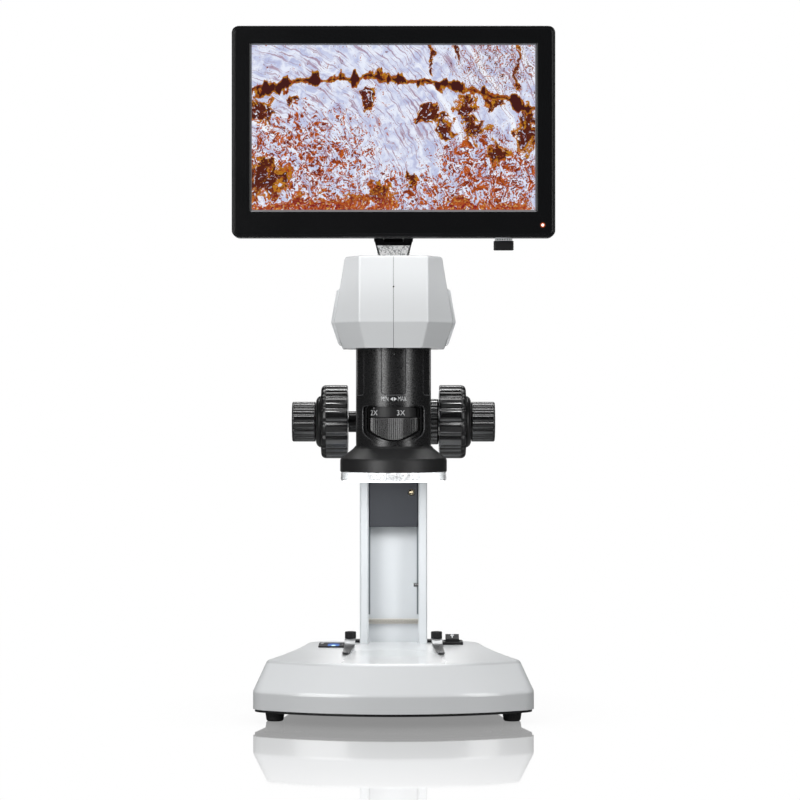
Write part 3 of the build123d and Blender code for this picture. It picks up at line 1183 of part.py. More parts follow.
def side_cap(sign):
    """A raised vent cover on one side of the head, with level slots."""
    lean = HEAD_TOP_TAPER * (SIDE_CAP_TOP - HEAD_WAIST) / (HEAD_TOP - HEAD_WAIST)
    low_x, mid_x = HEAD_HALF_WIDTH - HEAD_CHIN, HEAD_HALF_WIDTH
    top_x = HEAD_HALF_WIDTH - lean
    stand = SIDE_CAP_STAND
    foot = HEAD_BOTTOM + SIDE_CAP_FOOT
    foot_x = low_x + HEAD_CHIN * SIDE_CAP_FOOT / (HEAD_WAIST - HEAD_BOTTOM)
    outline = [(foot_x, foot), (foot_x + stand, foot + 1.0), (mid_x + stand, HEAD_WAIST),
               (top_x + stand, SIDE_CAP_TOP - 1.6), (top_x, SIDE_CAP_TOP), (mid_x, HEAD_WAIST)]
    plane = Plane(origin=(0, OPTICAL_Y + SIDE_CAP_DEPTH / 2, 0), x_dir=(1, 0, 0), z_dir=(0, -1, 0))
    cap = extrude(plane * make_face(Polyline(*outline, close=True)), SIDE_CAP_DEPTH, dir=(0, -1, 0))
    first = HEAD_WAIST + SIDE_VENT_MARGIN / 2
    room = SIDE_CAP_TOP - SIDE_VENT_MARGIN - first
    long = SIDE_CAP_DEPTH / 2 - SIDE_VENT_MARGIN
    for i in range(SIDE_VENTS):
        z = first + room * i / (SIDE_VENTS - 1)
        face_x = mid_x - (mid_x - top_x) * (z - HEAD_WAIST) / (SIDE_CAP_TOP - HEAD_WAIST) + stand
        cap -= block((face_x - SIDE_VENT_SINK, face_x + 3), (OPTICAL_Y - long, OPTICAL_Y + long),
                     (z - SIDE_VENT_WIDTH / 2, z + SIDE_VENT_WIDTH / 2))
    return cap if sign > 0 else mirror(cap, about=Plane.YZ)


def side_caps():
    return [side_cap(sign) for sign, _ in SIDES]


def camera_board():
    z = MOUNT_PLATE_Z + MOUNT_PLATE_H + CAMERA_POST_H
    half = CAMERA_BOARD / 2
    board = block((-half, half), (OPTICAL_Y - half, OPTICAL_Y + half), (z, z + BOARD_THICK))
    chip = SENSOR / 2
    sensor = block((-chip, chip), (OPTICAL_Y - chip, OPTICAL_Y + chip), (z - SENSOR_H, z))
    top = z + BOARD_THICK
    core = PROCESSOR / 2
    processor = block((-core, core), (OPTICAL_Y - core, OPTICAL_Y + core), (top, top + PROCESSOR_H))
    rear = OPTICAL_Y + half - CAMERA_SOCKET_INSET
    socket_x = (-CAMERA_SOCKET_WIDTH / 2, CAMERA_SOCKET_WIDTH / 2)
    socket = block(socket_x, (rear - CAMERA_SOCKET_DEPTH, rear), (top, top + CAMERA_SOCKET_H))
    return [board, sensor, processor, socket]


# ---------------------------------------------------------------- neck
def neck_front():
    return NECK_Y - NECK_DEPTH / 2


def neck_profile(inset, low, high):
    """The neck's front outline between two heights: sides that sweep out from the foot to the shoulder."""
    def half_at(z):
        share = min(1.0, max(0.0, (z - NECK_FOOT_Z) / (MONITOR_BOTTOM - NECK_FOOT_Z)))
        return NECK_FOOT_HALF + (NECK_SHOULDER_HALF - NECK_FOOT_HALF) * share - inset

    steps = [low + (high - low) * k / 6 for k in range(7)]
    right = [(half_at(z), z) for z in steps]
    return make_face(Polyline(*right, *[(-x, z) for x, z in reversed(right)], close=True))


def neck_plate_face():
    """The outline of the bright plate in the neck's front."""
    low = NECK_FOOT_Z + NECK_PLATE_RISE
    return neck_profile(NECK_PLATE_INSET, low, low + NECK_PLATE_H)


def neck_housing():
    """The black neck: a flared post with two knuckles on top, on a swivel pin."""
    front, back = neck_front(), neck_front() + NECK_DEPTH
    neck = front_cut(neck_profile(0.0, NECK_FOOT_Z, HINGE_Z), front, back)
    neck += rod_x(HINGE_R, (-NECK_SHOULDER_HALF, NECK_SHOULDER_HALF), NECK_Y, HINGE_Z)
    room = KNUCKLE_HALF + FREE
    neck -= block((-room, room), (front - 10, back + 10), (HINGE_Z - HINGE_R - 2 * FREE, HINGE_Z + HINGE_R + 10))
    neck -= rod_x(HINGE_PIN_R, (-NECK_SHOULDER_HALF - 1, NECK_SHOULDER_HALF + 1), NECK_Y, HINGE_Z)
    pin_bottom = HEAD_TOP - HEAD_WALL - FREE - SWIVEL_NUT_H
    neck += rod_z(SWIVEL_R, (pin_bottom, NECK_FOOT_Z + 0.5), 0, NECK_Y)
    neck += rod_z(SWIVEL_NUT_R, (pin_bottom, pin_bottom + SWIVEL_NUT_H), 0, NECK_Y)
    return neck - front_cut(neck_plate_face(), front - 1, front + NECK_PLATE_THICK)


def neck_plate():
    """The bright metal plate let into the neck's front."""
    return front_cut(neck_plate_face(), neck_front(), neck_front() + NECK_PLATE_THICK)


def hinge_pin():
    return rod_x(HINGE_PIN_R, (-NECK_SHOULDER_HALF, NECK_SHOULDER_HALF), NECK_Y, HINGE_Z)


# ---------------------------------------------------------------- monitor
def monitor_slab(inset, front, back):
    """The monitor's rounded outline, moved in by inset, between two depths."""
    plan = RectangleRounded(MONITOR_WIDTH - 2 * inset, MONITOR_HEIGHT - 2 * inset, MONITOR_CORNER_R - 0.6 * inset)
    return front_cut(Pos(0, MONITOR_MID_Z) * plan, front, back)


def usb_cut(grow, low, high):
    half_x = USB_PLUG_WIDTH / 2 + grow
    half_y = USB_PLUG_THICK / 2 + grow
    return block((USB_X - half_x, USB_X + half_x), (USB_Y - half_y, USB_Y + half_y), (low, high))


def monitor_bezel():
    """The glossy front frame, its window bevelled down to the picture."""
    split = MONITOR_FRONT + BEZEL_DEPTH
    frame = monitor_slab(0.0, MONITOR_FRONT, split)
    frame = chamfer(frame.faces().sort_by(Axis.Y)[0].edges(), BEZEL_EDGE)
    floor = MONITOR_FRONT + SCREEN_SINK
    wide = SCREEN_WIDTH + 2 * SCREEN_BEVEL
    tall = SCREEN_HEIGHT + 2 * SCREEN_BEVEL
    plane = Plane(origin=(0, MONITOR_FRONT, SCREEN_Z), x_dir=(1, 0, 0), z_dir=(0, -1, 0))
    inner = Plane(origin=(0, floor, SCREEN_Z), x_dir=(1, 0, 0), z_dir=(0, -1, 0))
    frame -= loft([plane * Rectangle(wide, tall), inner * Rectangle(SCREEN_WIDTH, SCREEN_HEIGHT)], ruled=True)
    frame -= monitor_slab(BEZEL_WALL, floor + SCREEN_GLASS, split + 1) & block(
        (-MONITOR_WIDTH, MONITOR_WIDTH), (floor, split + 1), (MONITOR_BOTTOM, MONITOR_TOP)
    )
    frame -= front_cut(Pos(0, SCREEN_Z) * Rectangle(SCREEN_WIDTH, SCREEN_HEIGHT), floor - 0.1, split)
    frame -= lamp_rod(0.0, MONITOR_FRONT - 1, split)
    return frame - usb_cut(SEAT_GAP + USB_PORT_WALL, MONITOR_BOTTOM - 1, MONITOR_BOTTOM + USB_CUT_HEIGHT)


def lamp_rod(extra, near, far):
    return rod_y(LAMP_R + extra, (near, far), LAMP_X, MONITOR_BOTTOM + LAMP_RISE)


def power_lamp():
    """The light pipe of the power lamp, flush with the bezel's face."""
    return lamp_rod(0.0, MONITOR_FRONT, MONITOR_FRONT + LAMP_LENGTH)


def button_place(index):
    return BUTTON_X + BUTTON_PITCH * (index - (len(BUTTON_NAMES) - 1) / 2), BUTTON_Z


def monitor_back():
    """The rear shell: rounded at the back, with vents, button holes and a boss for the hinge leaf."""
    split = MONITOR_FRONT + BEZEL_DEPTH
    shell = monitor_slab(0.0, split, MONITOR_BACK)
    shell = chamfer(shell.faces().sort_by(Axis.Y)[-1].edges(), BACK_EDGE)
    shell -= monitor_slab(BACK_EDGE, split - 1, MONITOR_BACK - BEZEL_WALL)
    for i in range(VENT_COUNT):
        x = -MONITOR_WIDTH / 4 + VENT_PITCH * (i - (VENT_COUNT - 1) / 2)
        shell -= block((x - VENT_WIDTH / 2, x + VENT_WIDTH / 2), (MONITOR_BACK - BEZEL_WALL - 1, MONITOR_BACK + 1),
                       (VENT_Z - VENT_LENGTH / 2, VENT_Z + VENT_LENGTH / 2))
    for i in range(len(BUTTON_NAMES)):
        x, z = button_place(i)
        shell -= rod_y(BUTTON_R + SEAT_GAP, (MONITOR_BACK - BEZEL_WALL - 1, MONITOR_BACK + 1), x, z)
    return shell - usb_cut(SEAT_GAP + USB_PORT_WALL, MONITOR_BOTTOM - 1, MONITOR_BOTTOM + USB_CUT_HEIGHT)


def usb_port():
    """The socket in the monitor's lower edge: a thin metal box, open below."""
    top = MONITOR_BOTTOM + USB_PLUG_LENGTH
    shell = usb_cut(SEAT_GAP + USB_PORT_WALL, MONITOR_BOTTOM + 0.2, top)
    return shell - usb_cut(SEAT_GAP, MONITOR_BOTTOM - 1, top - USB_PORT_WALL)


def lcd_panel():
    """The display module behind the bezel, with the display board on its back and the USB socket on the board."""
    half_x = SCREEN_WIDTH / 2 + LCD_MARGIN
    half_z = SCREEN_HEIGHT / 2 + LCD_MARGIN
    panel = block((-half_x, half_x), (LCD_FRONT, LCD_BACK), (SCREEN_Z - half_z, SCREEN_Z + half_z))
    right = USB_X + DISPLAY_BOARD_EDGE
    low = MONITOR_BOTTOM + DISPLAY_BOARD_FOOT
    board = block((right - DISPLAY_BOARD_WIDTH, right), (LCD_BACK, BOARD_BACK), (low, low + DISPLAY_BOARD_HEIGHT))
    return [panel, board, usb_port()]


def screen_glass():
    half_x, half_z = SCREEN_WIDTH / 2, SCREEN_HEIGHT / 2
    return block((-half_x, half_x), (LCD_FRONT - SCREEN_GLASS, LCD_FRONT), (SCREEN_Z - half_z, SCREEN_Z + half_z))


def hinge_leaf():
    """The plate screwed to the monitor's back, with the knuckle that turns between the neck's two."""
    half = HINGE_LEAF_WIDTH / 2
    low = HINGE_Z + HINGE_R + HINGE_LEAF_GAP
    web_top = low + HINGE_WEB_RISE
    back = MONITOR_BACK + HINGE_LEAF_THICK
    leaf = block((-half, half), (MONITOR_BACK, back), (low, low + HINGE_LEAF_HEIGHT))
    leaf = fillet(leaf.edges().filter_by(Axis.Y), HINGE_LEAF_ROUND)
    knuckle = rod_x(HINGE_R, (-KNUCKLE_HALF, KNUCKLE_HALF), NECK_Y, HINGE_Z)
    web = [(MONITOR_BACK, web_top), (MONITOR_BACK, HINGE_Z + HINGE_WEB_HALF), (NECK_Y, HINGE_Z - HINGE_WEB_HALF),
           (NECK_Y + HINGE_R - HINGE_WEB_BACK, HINGE_Z + 2 * HINGE_WEB_HALF), (back, web_top)]
    leaf += knuckle + Pos(-KNUCKLE_HALF, 0, 0) * polygon_prism(web, Plane.YZ, 2 * KNUCKLE_HALF)
    return leaf - rod_x(HINGE_PIN_R + RUN, (-half, half), NECK_Y, HINGE_Z)


def usb_stick():
    """A small memory stick: a bare metal plug in the socket and a black grip below."""
    collar = MONITOR_BOTTOM - USB_PLUG_BARE
    plug = usb_cut(0.0, collar, MONITOR_BOTTOM + USB_PLUG_LENGTH - USB_PORT_WALL - 1.0)
    half_x, half_y = USB_GRIP_WIDTH / 2, USB_GRIP_THICK / 2
    grip = block((USB_X - half_x, USB_X + half_x), (USB_Y - half_y, USB_Y + half_y), (collar - USB_GRIP_H, collar))
    return [plug, chamfer(grip.edges(), 0.5)]


def monitor_button(index):
    """A push button in the rear shell, kept in by a flange behind the wall."""
    x, z = button_place(index)
    inside = MONITOR_BACK - BEZEL_WALL
    key = rod_y(BUTTON_R, (inside - 0.5, MONITOR_BACK + BUTTON_STAND), x, z)
    key = chamfer(key.faces().sort_by(Axis.Y)[-1].edges(), 0.4)
    return key + rod_y(BUTTON_R + BUTTON_FLANGE, (inside - SEAT_GAP - BUTTON_FLANGE, inside - SEAT_GAP), x, z)


# ---------------------------------------------------------------- the whole microscope
def pieces():
    """Every piece as (name, solid or list of solids)."""
    yield "base_housing", base_housing()
    yield "base_plate", base_plate()
    yield "rubber_feet", rubber_feet()
    yield "base_screws", base_screws()
    yield "stage_cup", stage_cup()
    yield "stage_lamp", stage_lamp()
    yield "stage_glass", stage_glass()
    yield "driver_board", driver_board()
    yield "touch_panel", touch_panel()
    yield "switch_frame", switch_frame()
    yield "switch_rocker", switch_rocker()
    yield "dc_inlet", dc_inlet()
    for sign, side in SIDES:
        yield f"clip_leaf_{side}", clip_leaf(sign)
    yield "clip_caps", clip_caps()
    yield "pillar", pillar()
    yield "pillar_foot", pillar_foot()
    yield "pillar_bolts", pillar_bolts()
    yield "guide_rails", guide_rails()
    yield "stop_rod", stop_rod()
    yield "stop_screw", stop_screw()
    yield "shaft_bushes", shaft_bushes()
    yield "pinion_shaft", pinion_shaft()
    yield "fine_shaft", fine_shaft()
    yield "knob_dishes", knob_dishes()
    for sign, side in SIDES:
        yield f"coarse_knob_{side}", coarse_knob(sign)
        yield f"fine_knob_{side}", fine_knob(sign)
    yield "tension_ring", tension_ring()
    yield "carriage_slide", carriage_slide()
    yield "focus_rack", focus_rack()
    yield "carriage_screw", carriage_screw()
    yield "carriage_arm", carriage_arm()
    yield "barrel", barrel()
    yield "bell_ring", bell_ring()
    yield "optics_tube", optics_tube()
    yield "objective_lens", objective_lens()
    yield "zoom_ring", zoom_ring()
    yield "zoom_lens_cell", zoom_lens_cell()
    yield "ring_light_cover", ring_light_cover()
    yield "ring_light_board", ring_light_board()
    for sign, side in SIDES:
        yield f"head_shell_{side}", head_shell(sign)
    yield "side_caps", side_caps()
    yield "camera_board", camera_board()
    yield "neck_housing", neck_housing()
    yield "neck_plate", neck_plate()
    yield "hinge_pin", hinge_pin()
    yield "monitor_bezel", monitor_bezel()
    yield "monitor_back", monitor_back()
    yield "power_lamp", power_lamp()
    yield "lcd_panel", lcd_panel()
    yield "screen_glass", screen_glass()
    yield "hinge_leaf", hinge_leaf()
    yield "usb_stick", usb_stick()
    for index, name in enumerate(BUTTON_NAMES):
        yield f"button_{name}", monitor_button(index)


os.makedirs("parts", exist_ok=True)
for node, made in pieces():
    solids = made if isinstance(made, list) else made.solids()
    whole = [s for piece in solids for s in piece.solids()]
    export_step(whole[0] if len(whole) == 1 else Compound(children=whole), f"parts/{node}.step")
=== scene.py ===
"""The looks of a digital microscope with a tilting display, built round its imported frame.

Everything is in metres, +X to the user's right, +Y away from the user, +Z up. Places come from the frame's
own pieces, and the sizes and colours that a user may change are in the property groups.
"""

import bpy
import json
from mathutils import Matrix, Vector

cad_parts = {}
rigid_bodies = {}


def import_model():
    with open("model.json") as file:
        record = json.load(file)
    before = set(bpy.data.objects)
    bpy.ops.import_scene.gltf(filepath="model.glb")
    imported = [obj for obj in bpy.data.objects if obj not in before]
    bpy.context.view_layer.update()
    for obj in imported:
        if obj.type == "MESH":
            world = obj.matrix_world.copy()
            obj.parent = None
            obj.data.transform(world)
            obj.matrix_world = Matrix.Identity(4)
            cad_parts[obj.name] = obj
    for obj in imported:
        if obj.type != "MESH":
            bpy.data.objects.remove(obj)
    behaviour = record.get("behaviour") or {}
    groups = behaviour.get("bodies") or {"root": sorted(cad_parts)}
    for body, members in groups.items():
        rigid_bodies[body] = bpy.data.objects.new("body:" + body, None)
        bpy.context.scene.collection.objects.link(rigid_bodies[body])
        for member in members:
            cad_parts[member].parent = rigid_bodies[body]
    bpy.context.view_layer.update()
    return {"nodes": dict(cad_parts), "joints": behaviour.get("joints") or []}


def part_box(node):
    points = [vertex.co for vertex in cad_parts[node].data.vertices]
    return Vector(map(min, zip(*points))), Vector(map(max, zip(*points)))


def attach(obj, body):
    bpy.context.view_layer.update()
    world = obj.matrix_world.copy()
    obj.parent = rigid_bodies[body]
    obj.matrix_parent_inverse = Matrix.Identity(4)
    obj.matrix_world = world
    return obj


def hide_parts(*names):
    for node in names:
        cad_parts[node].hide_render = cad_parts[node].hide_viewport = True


bl_info = {
    "name": "Display microscope",
    "version": (1, 0, 0),
    "blender": (4, 5, 0),
    "location": "3D View > Sidebar > Microscope",
    "description": "Builds the finished surfaces of a digital microscope with a display",
    "category": "Object",
}

import json
import math

import bmesh
import bpy
import numpy as np
from mathutils import Vector

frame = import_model()
MM = 0.001
BLACK = (0.0, 0.0, 0.0, 1.0)
WHITE = (1.0, 1.0, 1.0, 1.0)
SIDES = (("left", -1), ("right", 1))


# ---------------------------------------------------------------- places taken from the frame
def middle(node):
    """The middle of a CAD node's box."""
    low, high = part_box(node)
    return (low + high) / 2


JOINT_PLACES = {joint["name"]: Vector(joint["pos_m"]) for joint in frame["joints"] if "pos_m" in joint}
DECK_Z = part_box("pillar")[0].z
BAND_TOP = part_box("base_housing")[0].z + 12.0 * MM
OPTICAL_Y = middle("barrel").y
BARREL_RADIUS = (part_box("barrel")[1].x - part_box("barrel")[0].x) / 2
SHAFT_PLACE = middle("fine_shaft")
HEAD_LOW, HEAD_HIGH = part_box("head_shell_left")
MONITOR_LOW, MONITOR_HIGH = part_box("monitor_bezel")
MONITOR_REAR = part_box("monitor_back")[1].y
SCREEN_LOW, SCREEN_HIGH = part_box("screen_glass")
SCREEN_MIDDLE = middle("screen_glass")
PANE_X, PANE_Y, PANE_Z = SCREEN_HIGH - SCREEN_MIDDLE


# ---------------------------------------------------------------- sizes and colours
def length(name, description, default_mm, top_mm=100.0):
    """A length property, given in millimetres and kept in metres."""
    return bpy.props.FloatProperty(
        name=name, description=description, default=default_mm * MM, min=0.0, max=top_mm * MM,
        precision=5, unit="LENGTH", subtype="DISTANCE",
    )


def angle(name, description, default_degrees):
    """An angle property, given in degrees and kept in radians."""
    default = math.radians(default_degrees)
    return bpy.props.FloatProperty(
        name=name, description=description, default=default, unit="ROTATION", subtype="ANGLE",
    )


def share(name, description, default, top=1.0):
    """A plain factor."""
    return bpy.props.FloatProperty(name=name, description=description, default=default, min=0.0, max=top)


def colour(name, description, default):
    """A linear colour with alpha 1."""
    return bpy.props.FloatVectorProperty(
        name=name, description=description, default=(*default, 1.0), size=4, min=0.0, max=1.0,
        subtype="COLOR",
    )


def number(name, description, default):
    """A count."""
    return bpy.props.IntProperty(name=name, description=description, default=default, min=1, max=400)


class FinishColours(bpy.types.PropertyGroup):
    """Colours of the finishes."""
    housing: colour("Housing", "White mouldings of the base and the head", (0.74, 0.755, 0.765))
    pillar: colour("Pillar", "Powder coat of the pillar", (0.60, 0.625, 0.645))
    black: colour("Black", "Black mouldings", (0.012, 0.012, 0.013))
    barrel: colour("Barrel", "Anodised barrel and bell", (0.0085, 0.0085, 0.009))
    knob: colour("Knobs", "Ribbed focus knobs", (0.006, 0.006, 0.0066))
    bezel: colour("Bezel", "Frame round the display", (0.0052, 0.0054, 0.0060))
    carriage: colour("Carriage", "Sliding carriage", (0.038, 0.041, 0.048))
    # painted shade: the rails' dark grey stands for the shade in the pillar channel's back corners
    rail: colour("Guide rails", "Strips that guide the carriage", (0.13, 0.15, 0.16))
    rubber: colour("Rubber", "Feet", (0.014, 0.014, 0.015))
    steel: colour("Steel", "Screws, shafts and the clips' leaves", (0.56, 0.57, 0.58))
    brass: colour("Brass", "Stop rod, lock screw and rack", (0.62, 0.53, 0.36))
    lettering: colour("Lettering", "Printed marks", (0.78, 0.79, 0.80))
    board: colour("Boards", "Solder mask of the circuit boards", (0.02, 0.12, 0.05))
    glow: colour("Touch glow", "Light behind the touch panel", (0.03, 0.12, 0.42))
    tissue: colour("Picture, pale", "Pale ground of the picture on the display", (0.50, 0.54, 0.76))
    rust: colour("Picture, rust", "Stains of the picture on the display", (0.44, 0.10, 0.012))
    vein: colour("Picture, vein", "Vein across the picture on the display", (0.055, 0.008, 0.006))


class KnobSizes(bpy.types.PropertyGroup):
    """Ribs and edges of the turned grips."""
    coarse_ribs: number("Coarse ribs", "Ribs round a coarse knob", 16)
    coarse_depth: length("Coarse rib depth", "Depth of the valleys between the coarse ribs", 1.5)
    coarse_edge: length("Coarse edge", "Rounding of a coarse knob's outer edge", 4.2)
    fine_ribs: number("Fine ribs", "Ribs round a fine knob", 16)
    fine_depth: length("Fine rib depth", "Depth of the valleys between the fine ribs", 0.85)
    fine_edge: length("Fine edge", "Rounding of a fine knob's outer edge", 1.5)
    tension_ribs: number("Tension ribs", "Ribs round the tension ring", 26)
    tension_depth: length("Tension rib depth", "Depth of the valleys round the tension ring", 0.8)
    ridge: share("Ridge", "Share of a rib's pitch that its broad back takes", 0.66)
    bore: length("Bore", "Radius of the hole for the shaft", 4.05)
    recess: length("Recess", "Depth of the hollow in a coarse knob's inner face", 5.0)


class OpticsSizes(bpy.types.PropertyGroup):
    """The zoom ring and the marks round it."""
    ring_ribs: number("Zoom ribs", "Fine ribs round the zoom ring's grip", 100)
    ring_depth: length("Zoom rib depth", "Depth between the zoom ring's ribs", 0.55)
    scale_height: length("Scale band", "Height of the smooth band with the zoom numbers", 9.3)
    mark_height: length("Mark height", "Height of the zoom numbers", 3.6)
    first_mark: angle("First mark", "Where the lowest zoom number stands, from the front", -36.3)
    mark_step: angle("Mark step", "Turn from one zoom number to the next", 49.0)
    legend_height: length("Legend height", "Height of the MIN and MAX lettering", 3.3)
    legend_width: share("Legend width", "Share of the lettering's usual width", 0.62)
    legend_turn: angle("Legend turn", "Where MIN and MAX stand, left and right of the front", 13.2)
    legend_z: length("Legend place", "Height of the legend over the table", 217.2, 600.0)
    window_width: length("Window width", "Width of the zoom window", 36.4)
    window_top: length("Window top", "Height of the zoom window's upper edge over the table", 212.0, 600.0)
    window_low: length("Window low", "Height of the zoom window's lower edge over the table", 188.5, 600.0)
    bead_gap: length("Bead gap", "How far the bead stands outside the window", 3.1)
    # the seal is a painted shadow: a matt black wire round the zoom window's inner edge
    shade_line_radius: length("Seal radius", "Radius of the seal round the window", 0.55)
    bead_radius: length("Bead radius", "Radius of the bead beside the window", 0.42)
    print_thick: length("Print thickness", "How far printed marks stand proud", 0.05)
    panels: number("Panels", "Shallow panels round the barrel", 5)
    panel_width: length("Panel width", "Width of a shallow panel", 17.8)
    panel_corner: length("Panel corner", "Corner radius of a shallow panel", 2.5)
    panel_z: length("Panel foot", "Height of the panels' lower edges over the table", 219.9, 600.0)
    screw_z: length("Screw place", "Height of the barrel's small screw over the table", 248.0, 600.0)
    screw_radius: length("Screw radius", "Radius of the barrel's small screw", 1.1)


class HeadSizes(bpy.types.PropertyGroup):
    """The camera head's section, which its seam strip follows."""
    waist_rise: length("Waist rise", "From the head's underside to its widest edge", 17.7)
    chin: length("Chin", "How far the lower facets draw in", 5.6)
    lean: length("Lean", "How far the front leans in towards the top", 2.5)
    seam_sink: length("Seam sink", "How far the dark seam strip lies under the surface", 0.7)
    seam_width: length("Seam width", "Thickness of the seam strip", 0.28)
    plug_z: length("Plug place", "Height of the small plug in the seam over the table", 293.4, 600.0)
    plug_radius: length("Plug radius", "Radius of the small plug in the seam", 0.55)


class DisplaySizes(bpy.types.PropertyGroup):
    """The frame round the display."""
    corner: length("Corner", "Radius of the display's outer corners", 4.8)
    edge: length("Edge", "Rounding of the frame's front edge", 1.3)
    groove_inset: length(
        "Groove inset", "Where the fine line round the face lies, in from the outer edge", 1.7,
    )
    groove_width: length("Groove width", "Width of the fine line round the face", 0.8)
    groove_depth: length("Groove depth", "Depth of the fine line round the face", 0.2)
    trim_low: length("Trim foot", "Width of the grey trim under the picture", 1.5)
    bevel: length("Bevel", "Width of the slope down to the picture", 1.8)
    lip: length("Lip", "Width of the shallow slope that leads into the bevel", 0.9)
    lip_slope: angle("Lip slope", "Slope of the bevel's shallow lead-in", 22.0)
    wall: length("Wall", "Wall thickness of the frame", 2.4)
    halo: length("Lamp halo", "Radius of the glow round the power lamp", 2.0)
    sensor_x: length("Sensor place", "The light sensor's place to the right of the middle", 15.9)
    sensor_drop: length("Sensor drop", "The light sensor's place under the picture", 5.2)
    sensor_radius: length("Sensor radius", "Radius of the light sensor's hole", 0.42)
    picture_strength: share("Picture brightness", "Brightness of the picture on the display", 1.0, 4.0)


class StandSizes(bpy.types.PropertyGroup):
    """Clips, touch panel and stop rod."""
    leaf_length: length("Leaf length", "From a clip's post to the tip of its leaf", 70.0)
    leaf_root: length("Leaf root", "Width of a clip's leaf at its post", 7.8)
    leaf_tip: length("Leaf tip", "Width of a clip's leaf at its tip", 4.4)
    leaf_thick: length("Leaf thickness", "Thickness of a clip's leaf", 0.6)
    leaf_rise: length("Leaf rise", "Height of the leaf's level stretch over the deck", 5.4)
    leaf_toe: angle("Leaf toe", "How far a leaf points outwards", 2.1)
    cap_flutes: number("Cap flutes", "Flutes round a clip's cap", 22)
    cap_depth: length("Cap flute depth", "Depth of the flutes round a clip's cap", 0.32)
    rod_grooves: number("Rod grooves", "Crossing grooves round the stop rod", 6)
    rod_depth: length("Rod knurl depth", "Depth of the stop rod's knurl", 0.55)
    mark_thick: length("Mark thickness", "How far the panel's marks stand proud", 0.04)


class StudioSettings(bpy.types.PropertyGroup):
    """Camera, lamps and floor."""
    distance: length("Camera distance", "From the camera to the origin, level", 1910.8, 5000.0)
    height: length("Camera height", "Height of the camera over the table", 213.1, 5000.0)
    lens: bpy.props.FloatProperty(name="Lens", description="Focal length", default=123.3, unit="CAMERA")
    shift_x: share("Shift across", "Camera shift that frames the microscope", 6.5 / 800)
    shift_y: share("Shift up", "Camera shift that frames the microscope", 5.0 / 800)
    left_power: share("Left lamp", "Power of the tall lamp at the left, in watts", 16.0, 400.0)
    right_power: share("Right lamp", "Power of the tall lamp at the right, in watts", 8.8, 400.0)
    top_power: share("Top lamp", "Power of the lamp overhead, in watts", 7.0, 400.0)
    rim_power: share("Rim lamp", "Power of the long narrow lamp high behind, in watts", 9.0, 400.0)
    strip_power: share(
        "Strip lamp", "Power of the lamp high in front that lights the grips alone, in watts", 26.0, 400.0,
    )
    ring_power: share("Ring light", "Power of the light under the bell, in watts", 0.08, 4.0)
    sky: share("Sky", "Strength of the studio's pale surround", 0.34, 4.0)
    floor_gloss: share("Floor gloss", "Share of the floor's mirror reflection", 0.66)


GROUPS = {
    "microscope_colours": FinishColours,
    "microscope_knobs": KnobSizes,
    "microscope_optics": OpticsSizes,
    "microscope_head": HeadSizes,
    "microscope_display": DisplaySizes,
    "microscope_stand": StandSizes,
    "microscope_studio": StudioSettings,
}


# ---------------------------------------------------------------- grids and profiles
def sheet_of(points, wrap_rows=False, wrap_columns=True):
    """A (rows, columns, 3) grid as one part of a piece: flat points, and quads that join corner (i, j) to
    (i, j + 1), (i + 1, j + 1) and (i + 1, j). A wrapped direction joins its last line to its first."""
    rows, columns = points.shape[:2]
    last_row = rows if wrap_rows else rows - 1
    last_column = columns if wrap_columns else columns - 1
    i, j = np.meshgrid(np.arange(last_row), np.arange(last_column), indexing="ij")
    next_i, next_j = (i + 1) % rows, (j + 1) % columns
    quads = [i * columns + j, i * columns + next_j, next_i * columns + next_j, next_i * columns + j]
    return points.reshape(-1, 3), np.stack(quads, axis=-1).reshape(-1, 4).tolist()


def smooth_line(corners, reach, steps=4):
    """A line through corners, each inner corner rounded: the corner is replaced by the quadratic curve
    (1 - t)^2 a + 2 t (1 - t) corner + t^2 b, where a and b lie reach before and after it, or at half a
    leg."""
    corners = np.asarray(corners, float)
    t = np.linspace(0.0, 1.0, steps + 1)[:, None]
    pieces = [corners[:1]]
    for before, corner, after, radius in zip(corners[:-2], corners[1:-1], corners[2:], reach[1:-1]):
        into, out = before - corner, after - corner
        a = corner + into * min(0.5, radius / np.linalg.norm(into))
        b = corner + out * min(0.5, radius / np.linalg.norm(out))
        pieces.append((1 - t) ** 2 * a + 2 * t * (1 - t) * corner + t ** 2 * b)
    pieces.append(corners[-1:])
    return np.concatenate(pieces)


def along_line(line, count):
    """count points spaced evenly along a flat line, and the unit direction at each of them."""
    run = np.concatenate([[0], np.cumsum(np.linalg.norm(np.diff(line, axis=0), axis=1))])
    places = np.linspace(0, 1, count) * run[-1]
    points = np.stack([np.interp(places, run, line[:, k]) for k in (0, 1)], axis=1)
    tangent = np.gradient(points, axis=0)
    return points, tangent / np.linalg.norm(tangent, axis=1, keepdims=True)


def round_angles(count):
    """count angles evenly round a full turn."""
    return np.arange(count) * 2 * math.pi / count


def turned(radius, height, angles):
    """Surface of revolution: point (k, a) = (r cos a, r sin a, h). radius is one value for each profile
    row, or a (rows, angles) array where the radius changes round the axis too."""
    radius = np.asarray(radius, float)
    if radius.ndim == 1:
        radius = np.repeat(radius[:, None], len(angles), axis=1)
    height = np.repeat(np.asarray(height, float)[:, None], len(angles), axis=1)
    return np.stack([radius * np.cos(angles), radius * np.sin(angles), height], axis=-1)


def on_axis(points, origin, axis=(0, -1, 0), across=(1, 0, 0)):
    """Moves points made round +Z so that +Z becomes axis and +X becomes across, at origin."""
    axis = np.asarray(Vector(axis).normalized())
    across = np.asarray(Vector(across).normalized())
    third = np.cross(axis, across)
    return np.asarray(origin) + points[..., :1] * across + points[..., 1:2] * third + points[..., 2:] * axis


